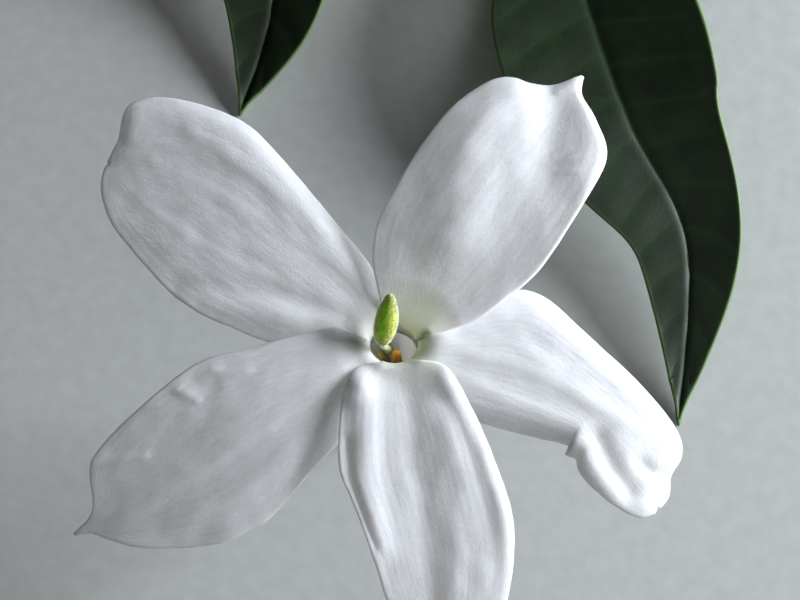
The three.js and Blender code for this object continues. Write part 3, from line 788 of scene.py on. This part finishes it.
# The pistil in the throat: a thin style with the ovary at its foot, and the swollen stigma on it.
PISTIL_LINE = [
    [0, 0, 10.8], [0, 0, 14], [0, 0.05, 19], [-0.1, 0.1, 22.2], [-0.6, 0.05, 24.4], [-0.95, -0.05, 26],
    [-0.68, 1.1, 27.5], [-0.45, 2.3, 28.75],
]
PISTIL_ROWS = 400
STYLE_RADIUS = 0.2
STYLE_SIDES = 24
OVARY_SWELLING = 0.2
OVARY_SHARE = 0.06
STIGMA_FROM = 0.8
STIGMA_LENGTH = 3.9
STIGMA_RADIUS = 0.69
STIGMA_SIDES = 56
STIGMA_PROFILE = [0.3, 0.72, 0.95, 1, 0.97, 0.8, 0.56, 0.3]
STIGMA_TIP_SHARE = 0.15
STIGMA_LUMPS = ((0.016, 0.12, 5),)
GROOVE_TURN = radians(-20)
GROOVE_DEPTH = 0.09
GROOVE_WIDTH = 0.12
GROOVE_TINT_WIDTH = 0.15
BACK_DEPTH = 0.2
BACK_WIDTH = 0.2
PAPILLAE = 2600
PAPILLA_LENGTH = (0.045, 0.11)
PAPILLA_WIDTH = 0.034
PAPILLA_LEAN = 0.3


def add_style(shape, line, t):
    lower = t < STIGMA_FROM + 0.02
    radius = STYLE_RADIUS + OVARY_SWELLING * bell(t[lower], OVARY_SHARE)
    add_rings(shape, swept(line[lower], radius, TO_CAMERA, STYLE_SIDES), skin=1)


def add_stigma(shape, line, s):
    """The stigma's body, with a groove in front and a hollow behind. Gives its rings and their marks."""
    angle = around(STIGMA_SIDES)
    front = np.sin((angle - GROOVE_TURN) / 2)
    back = np.sin((angle - math.pi) / 2)
    tip = np.sqrt(1 - np.clip(1 - (1 - s) / STIGMA_TIP_SHARE, 0, 1) ** 2)
    depth = GROOVE_DEPTH * bell(front, GROOVE_WIDTH) + BACK_DEPTH * bell(back, BACK_WIDTH)
    section = 1 - depth * np.sin(math.pi * np.clip(s, 0, 1))[:, None] ** 0.4
    radius = STIGMA_RADIUS * along(STIGMA_PROFILE, s) * tip
    rings = swept(line, radius, TO_CAMERA, STIGMA_SIDES, section)
    rings = rings + lumpy(rings, STIGMA_LUMPS)[..., None] * (rings - line[:, None])
    grown = together((s * STIGMA_LENGTH)[:, None], angle, 0.0)
    groove = bell(front, GROOVE_TINT_WIDTH) * np.ones((len(s), 1))
    add_rings(shape, rings, grown=grown, tint=groove)
    return rings, grown


def add_papillae(shape, line, rings, grown):
    """The stigma's papillae, some of them painted paler: painted glints."""
    draw = np.random.default_rng(7)
    row = draw.integers(3, len(line) - 3, PAPILLAE)
    column = draw.integers(0, STIGMA_SIDES, PAPILLAE)
    feet = rings[row, column]
    ahead = np.gradient(line, axis=0)[row]
    ways = unit(feet - line[row] + PAPILLA_LEAN * ahead * draw.normal(size=(PAPILLAE, 1)))
    length = draw.uniform(*PAPILLA_LENGTH, PAPILLAE)
    # Painted glints: a random share of the papillae is mixed towards a pale yellow.
    pale = draw.uniform(0, 1, PAPILLAE) ** 2
    add_cones(shape, feet, ways, length, PAPILLA_WIDTH, grown=grown[row, column], veins=np.repeat(pale, 5))


def make_pistil(stigma_skin, style_skin):
    shape = Shape()
    line = curve(PISTIL_LINE, PISTIL_ROWS)
    t = np.linspace(0, 1, PISTIL_ROWS)
    add_style(shape, line, t)
    upper = t >= STIGMA_FROM
    rings, grown = add_stigma(shape, line[upper], (t[upper] - STIGMA_FROM) / (1 - STIGMA_FROM))
    add_papillae(shape, line[upper], rings, grown)
    shape.piece("flower_pistil", [stigma_skin, style_skin], "stigma", "pistil")


# The two stamens beside it. An anther has two long lobes with a seam between, dusted with pollen.
STAMENS = {
    "stamen_front": [[0, -0.58, 20.8], [0.02, -0.64, 22.5], [-0.14, -0.3, 25.0]],
    "stamen_left": [[-0.57, -0.08, 20.8], [-0.68, -0.13, 22.4], [-1.12, -0.27, 24.5]],
}
STAMEN_ROWS = 120
FILAMENT_SHARE = 0.4
FILAMENT_RADIUS = 0.1
FILAMENT_SIDES = 16
ANTHER_RADIUS = 0.27
ANTHER_SIDES = 40
LOBE_DEPTH = 0.14
SEAM_DEPTH = 0.22
SEAM_WIDTH = 0.18
POLLEN_GRAINS = 160
POLLEN_LENGTH = (0.03, 0.06)
POLLEN_WIDTH = 0.03


def make_stamen(name, points, anther_skin, filament_skin, seed):
    shape = Shape()
    line = curve(points, STAMEN_ROWS)
    t = np.linspace(0, 1, STAMEN_ROWS)
    inward = np.array([-points[1][0], -points[1][1], 0.0])
    stalk = t <= FILAMENT_SHARE + 0.1
    add_rings(shape, swept(line[stalk], FILAMENT_RADIUS, inward, FILAMENT_SIDES), skin=1)
    body = t >= FILAMENT_SHARE
    s = (t[body] - FILAMENT_SHARE) / (1 - FILAMENT_SHARE)
    angle = around(ANTHER_SIDES)
    radius = ANTHER_RADIUS * np.sqrt(np.maximum(1 - (2 * s - 1) ** 8, 0.02))
    lobed = 1 - LOBE_DEPTH * np.cos(2 * angle) - SEAM_DEPTH * bell(np.sin(angle / 2), SEAM_WIDTH)
    rings = swept(line[body], radius, inward, ANTHER_SIDES, lobed)
    add_rings(shape, rings)
    draw = np.random.default_rng(seed)
    row = draw.integers(4, len(s) - 2, POLLEN_GRAINS)
    column = draw.integers(0, ANTHER_SIDES, POLLEN_GRAINS)
    feet = rings[row, column]
    ways = unit(feet - line[body][row])
    add_cones(shape, feet, ways, draw.uniform(*POLLEN_LENGTH, POLLEN_GRAINS), POLLEN_WIDTH, tint=1.0)
    shape.piece(f"flower_{name}", [anther_skin, filament_skin], "anther", name)


# The calyx: a cup with five thread-like teeth.
CUP = [
    [0.3, 8.8], [0.75, 8.82], [1.3, 9.3], [1.6, 10.2], [1.7, 11.4], [1.72, 12.0], [1.66, 12.2],
    [1.5, 12.2], [1.38, 12.0], [1.3, 11.2], [1.25, 10.3], [0.9, 10.15], [0.2, 10.1],
]
CUP_ROWS = 90
CUP_OUTER_ROWS = 52
CUP_SIDES = 60
CUP_RIB_SHARE = 0.03
TEETH = 5
TOOTH_ROWS = 40
TOOTH_SIDES = 14
FIRST_TOOTH = radians(20)
TOOTH_FOOT = (1.57, 11.2)
TOOTH_LENGTH = 6.4
TOOTH_RADIUS = 0.36
TOOTH_TAPER = 0.85
TOOTH_FLATNESS = 0.18
TOOTH_LEAN = 0.34
TOOTH_CURLS = (0.36, 0.9)


def add_tooth(shape, number):
    turn = FIRST_TOOTH + number * FULL_TURN / TEETH
    s = np.linspace(0, 1, TOOTH_ROWS)
    out = TOOTH_FOOT[0] + TOOTH_LENGTH * TOOTH_LEAN * s + TOOTH_CURLS[number % 2] * s * s
    line = together(out * math.cos(turn), out * math.sin(turn), TOOTH_FOOT[1] + TOOTH_LENGTH * s)
    radius = TOOTH_RADIUS * (1 - TOOTH_TAPER * s ** 0.8)
    outward = [math.cos(turn), math.sin(turn), 0]
    section = 1 - TOOTH_FLATNESS * np.cos(2 * around(TOOTH_SIDES))
    add_rings(shape, swept(line, radius, outward, TOOTH_SIDES, section), tint=0.3)


def make_calyx(calyx_skin):
    shape = Shape()
    cup = turned(CUP, CUP_ROWS, CUP_SIDES)
    ribs = 1 + CUP_RIB_SHARE * np.cos(TEETH * (around(CUP_SIDES) - FIRST_TOOTH))
    cup[:CUP_OUTER_ROWS, :, :2] *= ribs[:, None]
    add_rings(shape, cup)
    for number in range(TEETH):
        add_tooth(shape, number)
    shape.piece("flower_calyx", [calyx_skin], "calyx", "calyx")


# The flower's own stalk, the pedicel.
PEDICEL_LINE = [[0.15, 2.7, 2.5], [0.13, 2.2, 3.1], [0.1, 1.3, 4.5], [0, 0.3, 6.2], [0, 0, 8.85]]
PEDICEL_RADIUS = [0.62, 0.5, 0.45, 0.46, 0.62]
PEDICEL_LENGTH = 8
PEDICEL_ROWS = 90
PEDICEL_SIDES = 28
PEDICEL_RIBS = 5


def make_pedicel(stem_skin):
    shape = Shape()
    line = curve(PEDICEL_LINE, PEDICEL_ROWS)
    t = np.linspace(0, 1, PEDICEL_ROWS)
    angle = around(PEDICEL_SIDES)
    section = 1 + 0.04 * np.cos(PEDICEL_RIBS * angle)
    rings = swept(line, along(PEDICEL_RADIUS, t), [1, 0, 0], PEDICEL_SIDES, section)
    grown = together((t * PEDICEL_LENGTH)[:, None], angle * 0.5, 3.0)
    add_rings(shape, rings, grown=grown)
    shape.piece("flower_stalk", [stem_skin], "stem", "pedicel")


# The stem along the table, from its cut end to the upturned end under the flower. A ring of the cut
# face is its size, how deep it is sunk, and how pale: bark, a raised ring of wood, and sunk pith.
STEM_LINE = [
    [0.5, 90], [1.6, 80], [2.5, 69], [5.6, 56], [8.9, 43], [9.2, 31], [6.2, 19], [2.4, 9.5], [0.7, 5.4],
]
STEM_END = [0.15, 2.6, 2.7]
STEM_FLAT = 0.18
STEM_LENGTH = 95
STEM_RADII = (1.35, 0.8)
STEM_SIDES = 48
STEM_STEPS = 320
STEM_CORNERS = 4
CORNER_SHARE = 0.06
CORNER_TURN = radians(20)
BARK_LUMPS = ((0.02, 0.35, 11),)
CUT_FACE = [
    (1.0, 0.0, 0.0), (0.93, -0.06, 0.1), (0.8, -0.03, 0.5), (0.55, 0.0, 0.7), (0.45, 0.07, 1.0),
    (0.05, 0.1, 1.0),
]
NODE = dict(x=2.5, y=69, swelling=0.35, length=1.6)
BUD = dict(out=1.1, ahead=-0.9, z=2.0, way=(0.75, -1.0, 0.8), length=1.5, radius=0.42)


def stem_line():
    """The stem's middle line, as high over the table as the stem is thick there, less its flat."""
    first, last = STEM_RADII
    points = []
    for number, (x, y) in enumerate(STEM_LINE):
        points.append([x, y, first + (last - first) * number / len(STEM_LINE) - STEM_FLAT])
    return curve([*points, STEM_END], STEM_STEPS)


def add_cut_end(shape, line, ring):
    ahead = (line[1] - line[0]) / np.linalg.norm(line[1] - line[0])
    face = np.stack([line[0] + (ring - line[0]) * size + ahead * deep for size, deep, _ in CUT_FACE])
    pale = np.array([pale for _, _, pale in CUT_FACE])[:, None] * np.ones(STEM_SIDES)
    add_rings(shape, face[::-1], skin=1, tint=pale[::-1], ends=(True, False))


def add_bud(shape, side):
    """A small pointed bud in the angle between the stem and a leaf's stalk."""
    s = np.linspace(0, 1, 24)
    foot = np.array([NODE["x"] + side * BUD["out"], NODE["y"] + BUD["ahead"], BUD["z"]])
    line = foot + s[:, None] * (np.array(BUD["way"]) * [side, 1, 1]) * BUD["length"]
    radius = BUD["radius"] * np.sqrt(np.maximum(1 - s ** 2.2, 0.002)) * (0.7 + 0.3 * np.sin(math.pi * s))
    add_rings(shape, swept(line, radius, [0, 0, 1], 16), tint=0.5)


def make_stem(stem_skin, cut_skin):
    shape = Shape()
    line = stem_line()
    t = np.linspace(0, 1, STEM_STEPS)
    angle = around(STEM_SIDES)
    first, last = STEM_RADII
    from_node = np.hypot(line[:, 0] - NODE["x"], line[:, 1] - NODE["y"])
    radius = first + (last - first) * t + NODE["swelling"] * bell(from_node, NODE["length"])
    radius *= 1 - 0.35 * eased(t, 0.985, 1.0)
    section = 1 + CORNER_SHARE * np.cos(STEM_CORNERS * (angle + CORNER_TURN))
    rings = swept(line, radius, [0, 0, 1], STEM_SIDES, section)
    run = (t * STEM_LENGTH)[:, None]
    bark = lumpy(together(run / 6, angle * 1.3, 0.0), BARK_LUMPS)
    rings = rings + bark[..., None] * (rings - line[:, None])
    rings[..., 2] = np.maximum(rings[..., 2], 0.0)
    tint = 0.8 * eased(t, 0.8, 1.0)[:, None] * np.ones(STEM_SIDES)
    add_rings(shape, rings, grown=together(run, angle * 1.1, 0.0), tint=tint, ends=(False, True))
    add_cut_end(shape, line, rings[0])
    for side in (1, -1):
        add_bud(shape, side)
    shape.piece("sprig_stem", [stem_skin, cut_skin], "stem", "stem")


# The leaves. A leaflet is ovate and long-pointed. Its edges lift, and its veins are sunk above.
OVATE = [0.1, 0.62, 0.93, 1, 0.93, 0.75, 0.56, 0.4, 0.2, 0]
LEAF_THICKNESS = 0.3
LEAF_EDGE_ROUND = 0.16
LEAFLET_SIZE = (70, 37)
END_LEAFLET_SIZE = (150, 71)
LEAFLET_FOLD = 0.16
LEAFLET_BEND = radians(14)
LEAFLET_LUMPS = (0.12, 4.5)
WAVES = 1.7
WAVE_HEIGHT = 0.25
WAVE_SHIFT = 0.3
VEIN_SPACING = 3.4
SIDE_VEIN = dict(width=0.22, sunk=0.06, thicker=0.1, pale=0.22)
MIDRIB = dict(width=0.42, sunk=0.16, thicker=0.3, pale=0.8)
QUILT_HEIGHT = 0.022
RIM_HIGHLIGHT = dict(width=0.14, pale=0.75)
STALK_RADII = (0.62, 0.42)
STALK_FOOT = (0.3, 0.035)
STALK_GROOVE = (0.28, 0.3)
STALK_STEPS = 400
STALK_SIDES = 24
STALK_LENGTH = 40


def leaflet_veins(u, v, out, length):
    """The side veins, the midrib and its width, and the quilting between the veins."""
    pairs = max(4, round(length / VEIN_SPACING))
    slant = (u * (pairs + 1) - 0.75 * np.abs(v) ** 1.35 - 0.15 * np.sign(v)) % 1.0
    off_vein = np.abs(slant - 0.5) * length / (pairs + 1)
    side_vein = bell(off_vein, SIDE_VEIN["width"]) * (1 - eased(np.abs(v), 0.82, 0.97)) * (u < 0.93)
    midrib_width = MIDRIB["width"] * (1 - 0.6 * u)
    quilt = QUILT_HEIGHT * np.cos(FULL_TURN * slant)
    quilt = quilt * np.sin(math.pi * np.clip(np.abs(v), 0, 1)) ** 0.7
    return side_vein, bell(out, midrib_width), midrib_width, quilt


def add_leaflet(shape, line, half_width, heights, seed, tilt=0.0, curl=0.0, size=LEAFLET_SIZE):
    """A leaflet along a flat line, where u runs along it and v from its right to its left edge."""
    rows, columns = size
    u = np.linspace(0, 0.995, rows)[:, None]
    w = np.linspace(-1, 1, columns)
    v = 0.6 * w + 0.4 * np.sin(w * math.pi / 2)
    fine = curve(line, 400, 0)
    length = np.linalg.norm(np.diff(fine, axis=0), axis=1).sum()
    middle = read(fine, u[:, 0])
    ahead = unit(np.gradient(middle, axis=0))
    width = np.maximum(half_width * along(OVATE, u), 0.03)
    out = width * v
    side_vein, midrib, midrib_width, quilt = leaflet_veins(u, v, out, length)
    spots = together(u * length, out, seed * 7.0)
    ripple = WAVE_HEIGHT * np.sin(FULL_TURN * (WAVES * u + WAVE_SHIFT * np.sign(v))) * v * v
    fold = LEAFLET_FOLD + np.where(v < 0, curl * u ** 2, 0)
    lift = fold * np.abs(out) + tilt * out + ripple * np.sin(math.pi * u)
    lift = lift + quilt + lumpy(spots, [(*LEAFLET_LUMPS, seed)])
    lift = lift - SIDE_VEIN["sunk"] * side_vein - MIDRIB["sunk"] * midrib
    x = middle[:, :1] - ahead[:, 1:] * out
    y = middle[:, 1:] + ahead[:, :1] * out
    edge = width * (1 - np.abs(v))
    rounded = np.clip(1 - edge / LEAF_EDGE_ROUND, 0, 1)
    thickness = EDGE_THICKNESS + LEAF_THICKNESS * np.sqrt(1 - rounded ** 2)
    thickness = thickness + MIDRIB["thicker"] * midrib * (1 - u) + SIDE_VEIN["thicker"] * side_vein
    # Painted highlight: a thin pale band along the leaflet's edge.
    rim = RIM_HIGHLIGHT["pale"] * bell(edge, RIM_HIGHLIGHT["width"])
    veins = MIDRIB["pale"] * bell(out, 0.6 * midrib_width) + SIDE_VEIN["pale"] * side_vein
    grid = together(x, y, along(heights, u) + lift)
    add_sheet(shape, grid, thickness, spots, rim, np.clip(veins, 0, 1), under_skin=1, floor=0.0)


def add_leaf_stalk(shape, stalk):
    """The leaf's stalk, grooved on top and swollen where it joins the stem."""
    line = stalk[::3]
    s = np.linspace(0, 1, STALK_STEPS)[::3]
    base, tip = STALK_RADII
    swelling, foot_share = STALK_FOOT
    depth, groove_width = STALK_GROOVE
    angle = around(STALK_SIDES)
    grooved = 1 - depth * bell(np.sin(angle / 2), groove_width)
    radius = base + (tip - base) * s + swelling * bell(s, foot_share)
    rings = swept(line, radius, [0, 0, 1], STALK_SIDES, grooved)
    rings[..., 2] = np.maximum(rings[..., 2], 0.0)
    grown = together((s * STALK_LENGTH)[:, None], angle * 0.5, 5.0)
    add_rings(shape, rings, skin=2, grown=grown, tint=0.3)


def add_side_leaflet(shape, root, heading, side, pair, seed):
    """A leaflet that leaves the stalk at an angle and bends a little towards the leaf's tip."""
    length, spread, tip_height = pair["left"] if side > 0 else pair["right"]
    turn = heading + side * radians(spread)
    bend = turn - side * LEAFLET_BEND
    centre = root[:2] + length / 2 * np.array([math.cos(turn), math.sin(turn)])
    point = centre + length / 2 * np.array([math.cos(bend), math.sin(bend)])
    heights = [root[2], root[2] + pair["arch"], tip_height]
    add_leaflet(shape, [root[:2], centre, point], pair["width"] / 2, heights, seed)


def make_leaf(name, leaf, skins, node):
    shape = Shape()
    stalk = curve(leaf["stalk"], STALK_STEPS)
    way = np.gradient(stalk, axis=0)
    add_leaf_stalk(shape, stalk)
    seed = 20
    for pair in leaf["pairs"]:
        at = round(pair["at"] * (STALK_STEPS - 1))
        heading = math.atan2(way[at][1], way[at][0])
        for side in (1, -1):
            seed += 1
            add_side_leaflet(shape, stalk[at], heading, side, pair, seed)
    end = leaf["end"]
    line = [stalk[-1][:2], *end["line"]]
    heights = [stalk[-1][2], *end["heights"]]
    add_leaflet(shape, line, end["half_width"], heights, seed + 1, end["tilt"], end["curl"], END_LEAFLET_SIZE)
    shape.piece(name, skins, "leaf", node)


# A pair of leaflets is its place along the stalk, its width, how much it arches, and the length, the
# angle from the stalk and the height of the tip of its left and right leaflets.
LEFT_LEAF = dict(
    stalk=[[0.55, 69.3, 1.7], [-3.8, 67.8, 3.4], [-8.4, 62.8, 4.6], [-10.6, 56.8, 4.8], [-10.6, 51, 4.4]],
    pairs=[
        dict(at=0.54, width=6.8, arch=0.6, left=(16, 44, 0.3), right=(13, 54, 0.6)),
        dict(at=0.84, width=7.6, arch=0.4, left=(19, 42, 0.3), right=(16, 50, 0.5)),
    ],
    end=dict(
        line=[[-9.8, 42], [-8.8, 32.6], [-11.2, 24.6]], half_width=6.9, heights=[3.6, 2.4, 0.3],
        tilt=0.12, curl=0.25,
    ),
)
RIGHT_LEAF = dict(
    stalk=[
        [4.45, 69.3, 1.7], [9.4, 67.6, 3.8], [13.6, 62.4, 5.8], [14.8, 54.6, 6.4], [13.2, 46.8, 6.2],
        [11, 40.6, 5.8],
    ],
    pairs=[
        dict(at=0.37, width=6.8, arch=0.8, left=(18, 52, 0.3), right=(14, 54, 4.2)),
        dict(at=0.6, width=7.6, arch=0.8, left=(20, 56, 0.3), right=(18, 56, 4)),
        dict(at=0.83, width=7.4, arch=0.5, left=(16, 62, 0.3), right=(18, 60, 3.6)),
    ],
    end=dict(
        line=[[13.1, 31.3], [16, 22.6], [19.9, 14.2], [19.2, 1.9]], half_width=7.25,
        heights=[5.2, 4.2, 2.4, 0.3], tilt=0.1, curl=0.2,
    ),
)


# The room: a plain table and soft round lamps. A lamp is its place from the flower's mouth, its width,
# its power in watts and its colour. The main lamp stands to the right and a little behind.
TABLE_HALF_M = 2.5
LAMPS = {
    "main_lamp": dict(place=(290, 62, 74), width=190, power=2.45, colour="#f3f8ff"),
    "fill_lamp": dict(place=(60, -240, 480), width=400, power=0.16, colour="#fff8f0"),
}
SKY_COLOUR = "#f1eeea"
SKY_STRENGTH = 0.045


def make_table(skin):
    half = TABLE_HALF_M
    mesh = bpy.data.meshes.new("table")
    corners = [(-half, -half, 0), (half, -half, 0), (half, half, 0), (-half, half, 0)]
    mesh.from_pydata(corners, [], [(0, 1, 2, 3)])
    mesh.materials.append(skin)
    table = placed("table", mesh)


def make_lamp(name, place, width, power, colour):
    data = bpy.data.lights.new(name, "AREA")
    data.shape = "DISK"
    data.size = width * MM
    data.energy = power
    data.color = linear(colour)[:3]
    lamp = placed(name, data)
    aim = Vector((AXIS_X, AXIS_Y, MOUTH_Z)) * MM
    lamp.location = aim + Vector(place) * MM
    lamp.rotation_euler = (aim - lamp.location).to_track_quat("-Z", "Y").to_euler()
    lamp.visible_camera = False


def make_light():
    for name, lamp in LAMPS.items():
        make_lamp(name, **lamp)
    world = bpy.data.worlds.new("room")
    world.use_nodes = True
    sky = world.node_tree.nodes["Background"]
    sky.inputs["Color"].default_value = linear(SKY_COLOUR)
    sky.inputs["Strength"].default_value = SKY_STRENGTH
    bpy.context.scene.world = world
    bpy.context.scene.view_settings.view_transform = "Standard"


make_camera()

# The petals' tissue scatters light through its whole thickness, so they look soft and cool white.
petal_skin = petal_material(
    "petal_tissue_grown_with_waxy_bloom", ("#dddde2", "#f5f5f8"), "#f3f1e6", 0.85, 1.1
)

# The tube's lining is thinner and moist: light comes further into it. Its warm tone is its own, and it is
# painted paler than the petals: a painted glow of the light that comes through the thin wall.
tube_skin = petal_material("tube_lining_thin_with_painted_glow", ("#f8eee9", "#fdf7f2"), "#dcd3b4", 0.95, 1.6)

# The stigma is moist and set with papillae: it glows a bright yellow-green, and the paler specks on its
# papillae are painted glints.
stigma_skin = green_material(
    "stigma_tissue_moist_papillate", ("#dffb4a", "#eeff74"), 0.5, (9.0, 6.0, 1.0), 0.03, 0.9,
    tint="#cdf03e", veins="#f4ff9c",
)

# The style is smooth and pale, with a soft gloss.
style_skin = green_material("style_tissue_smooth", ("#b7c98a", "#d3dfb0"), 0.45, (2.0, 3.0, 1.0), 0.01, 0.4)

# The open anther is dry: pollen makes its orange matt and grainy.
front_anther_skin = green_material(
    "anther_wall_dry_with_pollen", ("#e0862a", "#f2a94c"), 0.7, (9.0, 9.0, 9.0), 0.04, 0.4, tint="#f6c068"
)

# The other anther sits deeper in the throat. Its olive is a painted shade: a darker, duller copy of the
# orange anther, with a little more gloss.
left_anther_painted_shade_skin = green_material(
    "anther_wall_painted_shade_olive", ("#8f8142", "#ab9a55"), 0.6, (9.0, 9.0, 9.0), 0.03, 0.4, tint="#c9a85a"
)

# The filaments are smooth and nearly white.
filament_skin = green_material(
    "filament_tissue_smooth", ("#e6e6d2", "#f3f2e4"), 0.45, (2.0, 2.0, 2.0), 0.01, 0.4
)

# The calyx has a thin wax over smooth green tissue: a soft gloss, and yellower teeth.
calyx_skin = green_material(
    "calyx_tissue_smooth_waxed", ("#5d7f37", "#84a455"), 0.42, (1.5, 3.0, 1.5), 0.03, 0.15, tint="#93ad62"
)

# The stem's young bark is waxed too: streaks 3 mm long and 0.3 mm wide, fresher near the flower.
stem_skin = green_material(
    "young_stem_bark_waxed", ("#45652d", "#6c8c45"), 0.42, (0.3, 3.0, 1.0), 0.04, 0.1, tint="#7f9d4f"
)

# The cut end is raw: matt wood under the bark, and pale pith in the middle.
cut_skin = green_material(
    "cut_stem_wood_and_pith", ("#a8b07a", "#c3c794"), 0.7, (5.0, 5.0, 5.0), 0.05, 0.2, tint="#e8e6cf"
)

# A leaf's upper skin is waxed and nearly black-green, with a broad soft sheen. The lower is matt and
# paler, with raised pale veins.
leaf_top = leaf_material("leaf_upper_skin_waxed", "#0e1c0a", "#182b12", "#2e4a25", 0.5, 0.04)
leaf_under = leaf_material("leaf_lower_skin_matt", "#4d6b40", "#62804f", "#8ba36d", 0.6, 0.0)

make_corolla(petal_skin, tube_skin)
make_pistil(stigma_skin, style_skin)
make_stamen("stamen_front", STAMENS["stamen_front"], front_anther_skin, filament_skin, 31)
make_stamen("stamen_left", STAMENS["stamen_left"], left_anther_painted_shade_skin, filament_skin, 32)
make_calyx(calyx_skin)
make_pedicel(stem_skin)
make_stem(stem_skin, cut_skin)
make_leaf("sprig_leaf_left", LEFT_LEAF, [leaf_top, leaf_under, stem_skin], "leaf_left")
make_leaf("sprig_leaf_right", RIGHT_LEAF, [leaf_top, leaf_under, stem_skin], "leaf_right")
make_table(table_material())
make_light()
